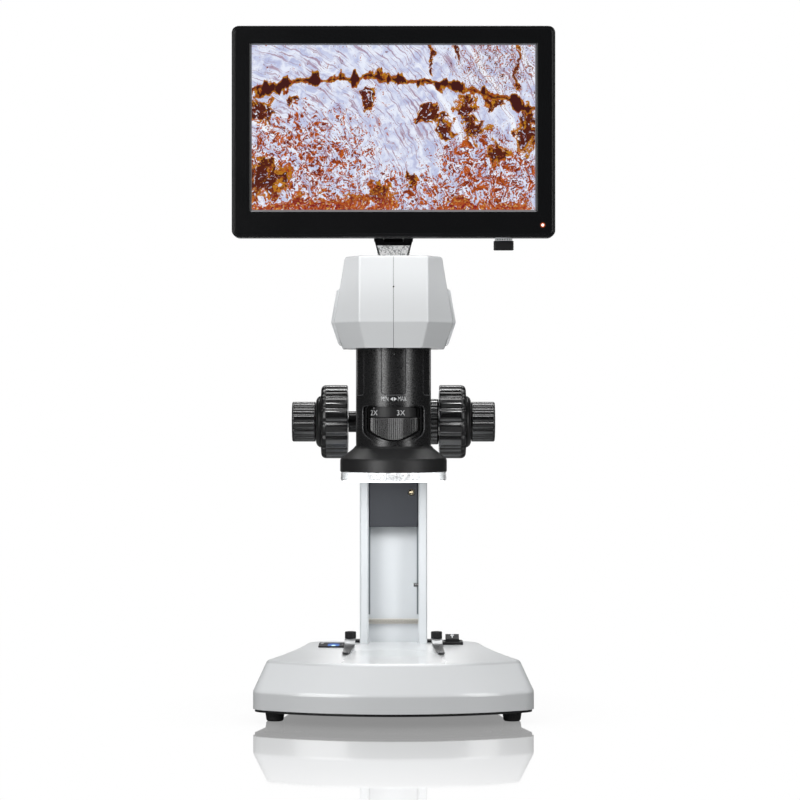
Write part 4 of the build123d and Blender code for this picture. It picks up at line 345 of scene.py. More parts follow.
def button(corners, reach, steps, count, place):
    """A small turned part that faces the user: a rounded profile of (radius, height), given in
    millimetres."""
    profile = smooth_line(np.array(corners) * MM, np.array(reach) * MM, steps)
    return sheet_of(on_axis(turned(profile[:, 0], profile[:, 1], round_angles(count)), place))


def thin_ring(radius, wire, centre, axis=(0, 0, 1)):
    """A thin ring: a circle of the wire's radius carried round a circle of the ring's radius."""
    around = round_angles(8)
    points = turned(radius + wire * np.cos(around), wire * np.sin(around), round_angles(32))
    return sheet_of(on_axis(points, centre, axis), wrap_rows=True)


def valley(angles, ribs, ridge):
    """0 on the ribs' backs and 1 at the bottom of the valleys: with u the place within a rib's pitch, from
    -0.5 to 0.5, the back spans |u| < ridge / 2 and falls by 0.30 (u / half)^4 to its edge, and the rest is a
    hollow with steep flanks that follows a quarter sine of v^0.75 down, where v runs from 0 at the edge to
    1 at the bottom."""
    u = np.abs((angles * ribs / (2 * math.pi)) % 1.0 - 0.5)
    half = ridge / 2
    fall = 0.30
    back = fall * np.clip(u / half, 0, 1) ** 4
    down = np.clip((u - half) / (0.5 - half), 0, 1) ** 0.75
    return np.where(u < half, back, fall + (1 - fall) * np.sin(0.5 * math.pi * down))


def rounded_rectangle(half_width, half_height, radius, steps=6):
    """Outlines of rounded rectangles, one for each entry of the sizes: corner centres at (half size -
    radius), and each corner a quarter turn of the radius. The result is (entries, 4 * (steps + 1), 2)."""
    half_width, half_height, radius = np.broadcast_arrays(
        *[np.atleast_1d(np.asarray(size, float)) for size in (half_width, half_height, radius)]
    )
    quarter = np.linspace(0, math.pi / 2, steps + 1)
    turn = np.concatenate([quarter + k * math.pi / 2 for k in range(4)])
    side_x = np.repeat([1, -1, -1, 1], steps + 1)
    side_y = np.repeat([1, 1, -1, -1], steps + 1)
    x = side_x * (half_width - radius)[:, None] + radius[:, None] * np.cos(turn)
    y = side_y * (half_height - radius)[:, None] + radius[:, None] * np.sin(turn)
    return np.stack([x, y], axis=-1)


def close_ends(rows):
    """Adds the middle of the first and of the last row as a row of its own, which closes both ends."""
    first = np.repeat(rows[:1].mean(axis=1, keepdims=True), rows.shape[1], axis=1)
    last = np.repeat(rows[-1:].mean(axis=1, keepdims=True), rows.shape[1], axis=1)
    return np.concatenate([first, rows, last])


def rounded_block(size, radius, edge, steps=5):
    """A block with rounded upright corners and softened ends, round its own middle: rows of rounded
    rectangles that draw in by edge over quarter circles at the two ends. Sizes are in millimetres."""
    half_x, half_y, half_z = np.array(size) * MM / 2
    radius, edge = radius * MM, edge * MM
    turn = np.linspace(0, math.pi / 2, steps)
    inset = edge * (1 - np.sin(turn))
    rise = edge * (1 - np.cos(turn))
    inset = np.concatenate([inset, inset[::-1]])
    height = np.concatenate([-half_z + rise, (half_z - rise)[::-1]])
    ring = rounded_rectangle(half_x - inset, half_y - inset, np.maximum(radius - inset, 0.05 * radius))
    rows = np.concatenate([ring, np.repeat(height[:, None, None], ring.shape[1], axis=1)], axis=-1)
    return close_ends(rows)


def block_at(size, radius, edge, place):
    """A rounded block as a part, with its middle at place."""
    return sheet_of(rounded_block(size, radius, edge) + np.array(place))


def letters(text, height, thick, width=1.0):
    """Text as points and faces round its own middle, in the XY plane, height tall and thick deep, and drawn
    in to a share of its usual width."""
    curve = bpy.data.curves.new("letters", "FONT")
    curve.body = text
    curve.size = height / 0.7
    curve.offset = -0.008 * curve.size
    curve.extrude = thick / 2
    curve.align_x = "CENTER"
    curve.align_y = "CENTER"
    holder = bpy.data.objects.new("letters", curve)
    bpy.context.scene.collection.objects.link(holder)
    made = bpy.data.meshes.new_from_object(holder.evaluated_get(bpy.context.evaluated_depsgraph_get()))
    points = np.zeros(len(made.vertices) * 3)
    made.vertices.foreach_get("co", points)
    faces = [tuple(face.vertices) for face in made.polygons]
    bpy.data.objects.remove(holder)
    bpy.data.curves.remove(curve)
    bpy.data.meshes.remove(made)
    return points.reshape(-1, 3) * np.array([width, 1.0, 1.0]), faces


def wrapped(part, radius, turn, height):
    """A flat part laid on a cylinder round the optical axis: x becomes the arc turn + x / radius measured
    from the front, y the height, and z the distance out from the cylinder."""
    points, faces = part
    around = turn + points[:, 0] / radius
    out = radius + points[:, 2]
    y = OPTICAL_Y - out * np.cos(around)
    return np.stack([out * np.sin(around), y, height + points[:, 1]], axis=-1), faces


def wire_on_barrel(line, tangent, wire, count, sink, sign=1):
    """Rows of a round wire along a line of (x, z) on the barrel's front: each circle stands across the
    line's direction, sunk by sink, and x becomes the arc whose sine is x / R. sign -1 mirrors it."""
    around = round_angles(count)
    x = sign * (line[:, :1] - tangent[:, 1:] * wire * np.cos(around))
    z = line[:, 1:] + tangent[:, :1] * wire * np.cos(around)
    out = BARREL_RADIUS - sink + wire * np.sin(around)
    turn = np.arcsin(np.clip(x / BARREL_RADIUS, -1, 1))
    return np.stack([out * np.sin(turn), OPTICAL_Y - out * np.cos(turn), z], axis=-1)


def add_piece(name, parts, body, finish, stands_for=(), sharp=32.0):
    """One object from parts of (points, faces): merged along seams and poles, normals outwards, shaded
    smooth with edges over the sharp angle kept."""
    points, faces, start = [], [], 0
    for part_points, part_faces in parts:
        points.append(part_points)
        faces += [[start + index for index in face] for face in part_faces]
        start += len(part_points)
    mesh = bpy.data.meshes.new(name)
    mesh.from_pydata(np.concatenate(points).tolist(), [], faces)
    work = bmesh.new()
    work.from_mesh(mesh)
    bmesh.ops.remove_doubles(work, verts=work.verts, dist=1e-7)
    bmesh.ops.dissolve_degenerate(work, edges=work.edges, dist=1e-8)
    bmesh.ops.recalc_face_normals(work, faces=work.faces)
    work.to_mesh(mesh)
    work.free()
    mesh.shade_smooth()
    mesh.set_sharp_from_angle(angle=math.radians(sharp))
    mesh.materials.append(finish)
    piece = bpy.data.objects.new(name, mesh)
    bpy.context.scene.collection.objects.link(piece)
    piece.modifiers.new("face_normals", "WEIGHTED_NORMAL").keep_sharp = True
    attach(piece, body)
    if stands_for:
        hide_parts(*stands_for)
    return piece


def dress(finish, *nodes):
    """Gives CAD nodes a finish."""
    for node in nodes:
        for slot in frame["nodes"][node].material_slots:
            slot.material = finish


# ---------------------------------------------------------------- finishes
class Nodes:
    """Shorthand for a node tree: its coordinates and the nodes that they feed."""

    def __init__(self, tree, coordinates):
        self.tree = tree
        self.coordinates = self.add("ShaderNodeTexCoord").outputs
        self.place = self.coordinates[coordinates]

    def add(self, kind, inputs=None, **settings):
        """A node with its settings and inputs, which are values or other nodes' outputs."""
        node = self.tree.nodes.new(kind)
        for key, value in settings.items():
            setattr(node, key, value)
        for key, value in (inputs or {}).items():
            self.put(node.inputs[key], value)
        return node

    def put(self, socket, value):
        """Links an output to a socket, or sets the socket's value."""
        if isinstance(value, bpy.types.NodeSocket):
            self.tree.links.new(value, socket)
        else:
            socket.default_value = value

    def axis(self, name, of=None):
        """One coordinate of a place."""
        return self.add("ShaderNodeSeparateXYZ", {"Vector": of or self.place}).outputs[name]

    def moved(self, scale=(1, 1, 1), shift=(0, 0, 0), of=None):
        """Coordinates scaled and shifted."""
        inputs = {"Vector": of or self.place, "Scale": scale, "Location": shift}
        return self.add("ShaderNodeMapping", inputs).outputs["Vector"]

    def noise(self, scale, detail=2.0, of=None, output="Fac"):
        """Noise from 0 to 1; scale is features for each metre."""
        inputs = {"Vector": of or self.place, "Scale": scale, "Detail": detail}
        return self.add("ShaderNodeTexNoise", inputs).outputs[output]

    def math(self, operation, a, b=0.0):
        """One arithmetic step."""
        return self.add("ShaderNodeMath", {0: a, 1: b}, operation=operation).outputs[0]

    def plus(self, a, b):
        """a + b."""
        return self.math("ADD", a, b)

    def minus(self, a, b):
        """a - b."""
        return self.math("SUBTRACT", a, b)

    def times(self, a, b):
        """a b."""
        return self.math("MULTIPLY", a, b)

    def most(self, a, b):
        """The greater of a and b."""
        return self.math("MAXIMUM", a, b)

    def size(self, a):
        """a without its sign."""
        return self.math("ABSOLUTE", a)

    def vector(self, operation, a, b=(0.0, 0.0, 0.0)):
        """One step of vector arithmetic; b is a factor where the operation is SCALE."""
        inputs = {0: a, "Scale" if operation == "SCALE" else 1: b}
        outputs = self.add("ShaderNodeVectorMath", inputs, operation=operation).outputs
        return outputs["Value" if operation in ("LENGTH", "DISTANCE") else "Vector"]

    def between(self, value, low, high, to_low=0.0, to_high=1.0):
        """value carried from the span low..high to to_low..to_high, smoothly and kept within it."""
        inputs = {"Value": value, "From Min": low, "From Max": high, "To Min": to_low, "To Max": to_high}
        return self.add("ShaderNodeMapRange", inputs, interpolation_type="SMOOTHSTEP").outputs["Result"]

    def mix(self, amount, a, b):
        """Colour a with amount of colour b."""
        node = self.add("ShaderNodeMix", data_type="RGBA")
        colours = [socket for socket in node.inputs if socket.type == "RGBA"]
        self.put(node.inputs[0], amount)
        self.put(colours[0], a)
        self.put(colours[1], b)
        return next(socket for socket in node.outputs if socket.type == "RGBA")

    def blend(self, amount, a, b):
        """Shader a with amount of shader b, each given as a node."""
        return self.add("ShaderNodeMixShader", {0: amount, 1: a.outputs[0], 2: b.outputs[0]})

    def bump(self, height, strength, distance):
        """A surface relief."""
        inputs = {"Height": height, "Strength": strength, "Distance": distance}
        return self.add("ShaderNodeBump", inputs).outputs["Normal"]

    def shade(self, base, amount, scale):
        """The base colour with slow darker clouds of the given amount."""
        return self.mix(self.noise(scale, 3.0), base, self.mix(amount, base, BLACK))

    def uneven(self, low, high):
        """A gloss that drifts between two values."""
        return self.between(self.noise(40.0, 1.0), 0.1, 0.9, low, high)


class Finish(Nodes):
    """One material, worked out from the Object coordinates."""

    def __init__(self, name):
        self.material = bpy.data.materials.new(name)
        self.material.use_nodes = True
        super().__init__(self.material.node_tree, "Object")
        self.shader = self.tree.nodes["Principled BSDF"]

    def made(self, **values):
        """The material, once the shader's sockets are set, with _ for a space in their names."""
        for key, value in values.items():
            self.put(self.shader.inputs[key.replace("_", " ")], value)
        return self.material

    def moulding(self, base, rough, grain, depth, coat=0.0, clouds=0.06, shine=0.5):
        """A moulded or painted surface: slow clouds in colour, and a fine grain as relief."""
        return self.made(
            Base_Color=self.shade(base, clouds, 18.0), Roughness=rough, Specular_IOR_Level=shine,
            Normal=self.bump(self.noise(grain, 3.0), 0.5, depth), Coat_Weight=coat, Coat_Roughness=0.08,
        )


def toned(base, factor):
    """A colour times a factor, at most 1."""
    return tuple(min(1.0, factor * c) for c in base[:3]) + (1.0,)


def moulded(name, base, rough, grain, depth, **others):
    """A plain moulding with a faint unevenness in gloss."""
    finish = Finish(name)
    return finish.moulding(base, finish.uneven(0.92 * rough, 1.08 * rough), grain, depth, **others)


# plain mouldings: colour, roughness, grain for each metre, relief and what else differs
PLAIN = {
    "pillar_white": ("pillar", 0.42, 900.0, 4e-6, {"clouds": 0.012}),
    "satin_black": ("black", 0.42, 2600.0, 3e-5, {"shine": 0.22}),
    "gloss_black": ("bezel", 0.16, 600.0, 3e-6, {"coat": 0.2, "shine": 0.35}),
    "bezel_black": ("bezel", 0.24, 1500.0, 3e-6, {"shine": 0.25}),
    "touch_black": ("black", 0.5, 900.0, 3e-6, {"shine": 0.08}),
    "carriage_grey": ("carriage", 0.48, 2200.0, 4e-5, {"shine": 0.25}),
    "rail_grey": ("rail", 0.4, 1500.0, 1e-5, {}),
    "foot_rubber": ("rubber", 0.75, 1800.0, 5e-5, {"clouds": 0.25}),
}


def plain(colours, name):
    """One of the plain mouldings."""
    base, rough, grain, depth, others = PLAIN[name]
    return moulded(name, tuple(getattr(colours, base)), rough, grain, depth, **others)


def housing_white(colours, waist):
    """Glossy white moulding with the faintest orange peel, with painted light: brighter towards the head's
    top, and greyer under its widest edge as painted shade."""
    finish = Finish("housing_white")
    height, base = finish.axis("Z"), tuple(colours.housing)
    # painted light and shade: rise brightens the white towards the head's top, over greys it under the widest
    # edge
    rise = finish.between(height, waist + 2.0 * MM, HEAD_HIGH.z - 3.0 * MM)
    over = finish.between(height, waist - 0.9 * MM, waist + 0.1 * MM)
    tone = finish.mix(over, toned(base, 0.89), finish.mix(rise, base, toned(base, 1.27)))
    return finish.moulding(tone, finish.uneven(0.22, 0.26), 300.0, 1e-6, coat=0.3, clouds=0.012)


def base_white(colours):
    """The housing's white, with painted shade: a greyer tone on the upright band round the foot and a lighter
    grey on the front slope. The deck is greyer towards its sides, also painted shade, and matt there."""
    finish = Finish("base_white")
    height, aside, base = finish.axis("Z"), finish.size(finish.axis("X")), tuple(colours.housing)
    # painted shade: the deck greys towards its sides, leaving its middle bright
    deck = finish.mix(finish.between(aside, 25.0 * MM, 60.0 * MM), base, toned(base, 0.70))
    on_deck = finish.between(height, DECK_Z - 2.6 * MM, DECK_Z - 0.6 * MM)
    over_band = finish.between(height, BAND_TOP - 1.6 * MM, BAND_TOP + 0.4 * MM)
    # painted shade: the band at 0.76 of the white, the front slope at 0.94, the deck as above
    tone = finish.mix(over_band, toned(base, 0.76), finish.mix(on_deck, toned(base, 0.94), deck))
    level = finish.between(height, DECK_Z - 1.4 * MM, DECK_Z - 0.4 * MM)
    matt = finish.times(finish.between(aside, 20.0 * MM, 80.0 * MM), level)
    rough = finish.plus(finish.uneven(0.22, 0.25), finish.times(matt, 0.3))
    coat = finish.between(matt, 0.0, 1.0, 0.3, 0.0)
    return finish.moulding(tone, rough, 300.0, 1e-6, coat=coat, clouds=0.02)


def seam_grey(colours):
    """The gasket in the head's seam: dark at its foot and paler towards the top as painted light."""
    finish = Finish("seam_grey")
    # painted light: the strip pales towards the head's top, where it is lit
    lit_towards_top = finish.between(finish.axis("Z"), HEAD_LOW.z + 12.0 * MM, HEAD_HIGH.z - 10.0 * MM, 0.0, 0.9)
    return finish.made(
        Base_Color=finish.mix(lit_towards_top, tuple(colours.black), (0.40, 0.40, 0.40, 1.0)),
        Roughness=finish.between(finish.noise(900.0), 0.3, 0.7, 0.45, 0.6),
    )


def knob_black(colours):
    """Black ribbed grip, with its rims left matt."""
    finish = Finish("knob_black")
    across = finish.size(finish.axis("X"))
    coarse_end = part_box("coarse_knob_right")[1].x
    fine_start, fine_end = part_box("fine_knob_right")[0].x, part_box("fine_knob_right")[1].x
    past_coarse = finish.between(across, coarse_end - 4.4 * MM, coarse_end - 3.2 * MM)
    before_fine = finish.between(across, fine_start + 1.3 * MM, fine_start + 0.2 * MM)
    past_fine = finish.between(across, fine_end - 1.9 * MM, fine_end - 0.9 * MM)
    matt = finish.most(finish.times(past_coarse, before_fine), past_fine)
    finish.made(IOR=1.6)
    return finish.moulding(
        tuple(colours.knob), finish.plus(finish.uneven(0.15, 0.17), finish.times(matt, 0.18)), 1800.0, 1e-6,
        coat=finish.between(matt, 0.0, 1.0, 0.5, 0.0), shine=finish.between(matt, 0.0, 1.0, 1.0, 0.5),
    )


def zoom_black(colours, band):
    """Glossy on the zoom ring's ribbed grip and satin on the scale band above it."""
    finish = Finish("zoom_black")
    smooth = finish.between(finish.axis("Z"), band - 0.1 * MM, band + 0.3 * MM)
    return finish.made(
        Base_Color=finish.shade(tuple(colours.knob), 0.06, 60.0),
        Roughness=finish.between(smooth, 0.0, 1.0, 0.20, 0.44),
        Specular_IOR_Level=finish.between(smooth, 0.0, 1.0, 1.0, 0.45),
        Coat_Weight=finish.between(smooth, 0.0, 1.0, 0.6, 0.0),
        Coat_Roughness=0.15,
        Normal=finish.bump(finish.noise(2200.0, 3.0), 0.4, 3e-6),
    )


def barrel_black(colours, name="barrel_black"):
    """Black anodised casting: a sparkling grain of bright and dark specks in the gloss."""
    finish = Finish(name)
    grain, base = finish.noise(1100.0), tuple(colours.barrel)
    speck = finish.between(finish.noise(1600.0, 1.0), 0.56, 0.72)
    finish.made(
        Base_Color=finish.mix(speck, base, toned(base, 3.2)),
        Roughness=finish.between(grain, 0.35, 0.65, 0.24, 0.36),
        Normal=finish.bump(grain, 0.4, 1.8e-5),
        Specular_IOR_Level=0.62,
    )
    return finish


def panelled_black(colours, sizes):
    """The barrel's black with a painted highlight: a bright hairline round each shallow panel, on the front
    of the barrel. With t the turn from the nearest panel's middle, (R sin t, z) is a place on the panel; its
    distance from a rounded rectangle is |max(q, 0)| + min(max(q.x, q.z), 0) - r, where q = |place - middle| -
    (half size - r)."""
    finish = barrel_black(colours, "panelled_black")
    minus, times, between, size = finish.minus, finish.times, finish.between, finish.size
    x, y, z = (finish.axis(name) for name in "XYZ")
    turn = finish.math("ARCTAN2", x, minus(OPTICAL_Y, y))
    step = 2 * math.pi / sizes.panels
    nearest = minus(turn, times(finish.math("ROUND", finish.math("DIVIDE", turn, step)), step))
    half_wide, half_tall, radius = sizes.panel_width / 2, 60.0 * MM, sizes.panel_corner
    qx = minus(size(times(finish.math("SINE", nearest), BARREL_RADIUS)), half_wide - radius)
    qz = minus(size(minus(z, sizes.panel_z + half_tall)), half_tall - radius)
    outside = finish.add("ShaderNodeCombineXYZ", {"X": finish.most(qx, 0.0), "Z": finish.most(qz, 0.0)})
    inside = finish.math("MINIMUM", finish.most(qx, qz), 0.0)
    gap = minus(finish.plus(finish.vector("LENGTH", outside.outputs[0]), inside), radius)
    front = between(y, OPTICAL_Y + 20.0 * MM, OPTICAL_Y + 10.0 * MM)
    # painted highlight: a bright hairline in the colour round each panel, on the front of the barrel only
    light = times(between(size(gap), 0.34 * MM, 0.16 * MM), front)
    dark = between(size(finish.plus(gap, 0.6 * MM)), 0.4 * MM, 0.2 * MM)
    under = finish.shader.inputs["Base Color"].links[0].from_socket
    return finish.made(
        Base_Color=finish.mix(times(light, 0.85), under, (0.13, 0.13, 0.135, 1.0)),
        Specular_IOR_Level=minus(0.62, times(dark, 0.5)),
    )


def brushed(name, base, along, rough=0.28, metal=1.0):
    """Metal brushed along one axis: noise stretched a hundredfold along it drives gloss and relief."""
    finish = Finish(name)
    stretch = tuple(30.0 if k == along else 3000.0 for k in range(3))
    lines = finish.noise(1.0, 3.0, finish.moved(stretch))
    return finish.made(
        Base_Color=finish.shade(base, 0.12, 80.0),
        Metallic=metal,
        Roughness=finish.between(lines, 0.2, 0.8, rough * 0.6, rough * 1.4),
        Normal=finish.bump(lines, 0.3, 6e-6),
    )


def steel(colours, name="bright_steel"):
    """Bright zinc-plated steel."""
    return brushed(name, tuple(colours.steel), 0)


def clip_steel(colours):
    """Polished spring steel, brushed along the leaf, with a painted reflection in its colour: bright at the
    bend and dark grey on the level stretch."""
    finish = Finish("clip_steel")
    lines = finish.noise(1.0, 3.0, finish.moved((3000.0, 30.0, 3000.0)))
    # painted reflection: the leaf's colour is bright above the bend and dark on the level stretch
    bend = finish.between(finish.axis("Z"), DECK_Z + 1.9 * MM, DECK_Z + 2.6 * MM)
    return finish.made(
        Base_Color=finish.mix(bend, toned(colours.steel, 0.12), toned(colours.steel, 0.62)),
        Metallic=0.6,
        Roughness=finish.between(lines, 0.2, 0.8, 0.22, 0.46),
        Normal=finish.bump(lines, 0.3, 6e-6),
    )


def brass(colours):
    """Plated brass, a little tarnished in its hollows."""
    finish = Finish("brass")
    worn = finish.between(finish.noise(900.0, 4.0), 0.45, 0.75)
    return finish.made(
        Base_Color=finish.mix(worn, tuple(colours.brass), toned(colours.brass, 0.55)),
        Metallic=1.0,
        Roughness=finish.between(finish.noise(500.0, 3.0), 0.3, 0.7, 0.24, 0.42),
        Normal=finish.bump(finish.noise(2500.0), 0.3, 8e-6),
    )


def speckled_silver():
    """A painted highlight made as a bright plate: a dense scatter of near-white and grey grains."""
    finish = Finish("speckled_silver")
    cells = finish.add("ShaderNodeTexVoronoi", {"Vector": finish.place, "Scale": 1500.0}).outputs
    tone = finish.add("ShaderNodeSeparateColor", {"Color": cells["Color"]}).outputs["Red"]
    return finish.made(
        Base_Color=finish.mix(finish.between(tone, 0.12, 0.50), (0.34, 0.34, 0.35, 1.0), WHITE),
        Roughness=0.42,
        Normal=finish.bump(cells["Distance"], 0.25, 2e-5),
    )


def clear_cover():
    """Clear moulding of the ring light, which glows where the lamps stand behind it and is plain at its
    ends."""
    finish = Finish("clear_cover")
    across = finish.size(finish.axis("X"))
    inside = finish.between(across, 36.0 * MM, 30.0 * MM, 0.02, 0.22)
    chips = finish.between(finish.noise(1.0, 2.0, finish.moved((700.0, 60.0, 900.0))), 0.52, 0.60)
    chip = finish.times(chips, finish.between(across, 17.0 * MM, 13.0 * MM))
    patchy = finish.minus(1.0, finish.times(chip, 0.85))
    under = finish.between(finish.axis("Z", finish.coordinates["Normal"]), -0.6, -0.95, 0.0, 0.8)
    return finish.made(
        Base_Color=finish.shade((0.90, 0.92, 0.935, 1.0), 0.05, 40.0),
        Transmission_Weight=0.9,
        Roughness=finish.between(finish.noise(180.0, 3.0), 0.3, 0.7, 0.04, 0.1),
        IOR=1.49,
        Emission_Color=WHITE,
        Emission_Strength=finish.plus(finish.times(inside, patchy), under),
        Normal=finish.bump(finish.noise(260.0), 0.2, 1.5e-5),
    )


def coated_lens():
    """Lens glass with a violet-green bloom that drifts over it."""
    finish = Finish("coated_lens")
    return finish.made(
        Base_Color=finish.mix(finish.noise(45.0), (0.55, 0.60, 0.72, 1.0), (0.60, 0.72, 0.62, 1.0)),
        Transmission_Weight=0.85,
        Roughness=finish.between(finish.noise(300.0), 0.3, 0.7, 0.01, 0.04),
        Coat_Weight=1.0,
        IOR=1.52,
    )


def frosted_plate():
    """Ground glass of the stage plate, with a frost of fine paler grains."""
    finish = Finish("frosted_plate")
    frost = finish.noise(3500.0)
    return finish.made(
        Base_Color=finish.mix(frost, (0.80, 0.83, 0.84, 1.0), (0.86, 0.885, 0.89, 1.0)),
        Transmission_Weight=0.25,
        Roughness=finish.between(frost, 0.3, 0.7, 0.18, 0.30),
        Normal=finish.bump(frost, 0.3, 6e-6),
        Coat_Weight=0.3,
    )


def glowing(name, tint, strength):
    """A lit surface, a little brighter and dimmer from spot to spot."""
    finish = Finish(name)
    spots = finish.mix(finish.noise(800.0), tint, toned(tint, 0.8))
    return finish.made(Base_Color=spots, Emission_Color=spots, Emission_Strength=strength, Roughness=0.4)


def board_finish(base):
    """Solder mask over crossing copper tracks, with pale pads."""
    finish = Finish("board_green")
    tracks = finish.add("ShaderNodeTexBrick", {
        "Vector": finish.moved((400, 400, 400)), "Scale": 1.0, "Mortar Size": 0.08, "Mortar Smooth": 0.1,
        "Color1": base, "Color2": toned(base, 0.8),
        "Mortar": tuple(min(1.0, 2.2 * c + 0.02) for c in base[:3]) + (1.0,),
    }, offset=0.37).outputs
    pads = finish.add("ShaderNodeTexVoronoi", {"Vector": finish.place, "Scale": 260.0})
    pad = finish.between(pads.outputs["Distance"], 0.16, 0.12)
    return finish.made(
        Base_Color=finish.mix(pad, tracks["Color"], (0.55, 0.52, 0.42, 1.0)),
        Roughness=0.38,
        Normal=finish.bump(tracks["Fac"], 0.4, 3e-5),
    )


def print_white(colours):
    """Screen-printed white lettering, thin in places."""
    finish = Finish("print_white")
    base = tuple(colours.lettering)
    ink = finish.mix(finish.noise(2500.0, 3.0), base, toned(base, 0.72))
    return finish.made(Base_Color=ink, Roughness=0.55)


def lamp_halo(colours, centre, radius):
    """The bezel's black with a red-orange glow that fades out round the power lamp."""
    finish = Finish("lamp_halo")
    near = finish.between(finish.vector("DISTANCE", finish.place, tuple(centre)), radius, 0.35 * radius)
    return finish.made(
        Base_Color=finish.shade(tuple(colours.bezel), 0.05, 60.0),
        Roughness=0.24,
        Emission_Color=finish.mix(near, BLACK, (1.0, 0.17, 0.03, 1.0)),
        Emission_Strength=0.9,
    )


def touch_glow(colours, centre):
    """Gloss black with a blue light behind it that is white hot at one spot."""
    finish = Finish("touch_glow")
    local = finish.moved((1.0, 0.35, 1.0), of=finish.vector("SUBTRACT", finish.place, tuple(centre)))
    spot = finish.vector("LENGTH", local)
    wide = finish.between(spot, 7.5 * MM, 3.0 * MM)
    hot = finish.between(spot, 2.2 * MM, 0.8 * MM)
    blue = finish.mix(wide, toned(colours.glow, 0.04), tuple(colours.glow))
    return finish.made(
        Base_Color=finish.shade(tuple(colours.black), 0.05, 90.0),
        Roughness=0.5,
        Specular_IOR_Level=0.08,
        Emission_Color=finish.mix(hot, blue, (0.65, 0.92, 1.0, 1.0)),
        Emission_Strength=1.3,
    )


# where marks gather in the picture, in millimetres from its middle: x, z, half width, half height
BLOTCHES = (
    (-90, 11, 16, 11), (-70, 17, 9, 5), (-17, 20, 6, 13), (23, 9, 12, 8), (35, 1, 10, 8), (56, -2, 14, 13),
    (72, -19, 10, 11), (93, -2, 12, 22), (-50, -56, 62, 13), (-8, -50, 14, 13), (-88, -37, 20, 22),
    (60, -57, 50, 12), (12, -36, 6, 10), (84, 41, 3.5, 22), (26, 47, 2.5, 14), (43, 54, 3, 10),
    (50, 14, 10, 13), (69, 18, 11, 6), (34, 7, 9, 6),
)
SPECKLES = ((-62, -22, 68, 44), (66, -34, 58, 44), (8, -50, 60, 26))
STREAKED_CORNER = ((72, 44, 44, 30),)


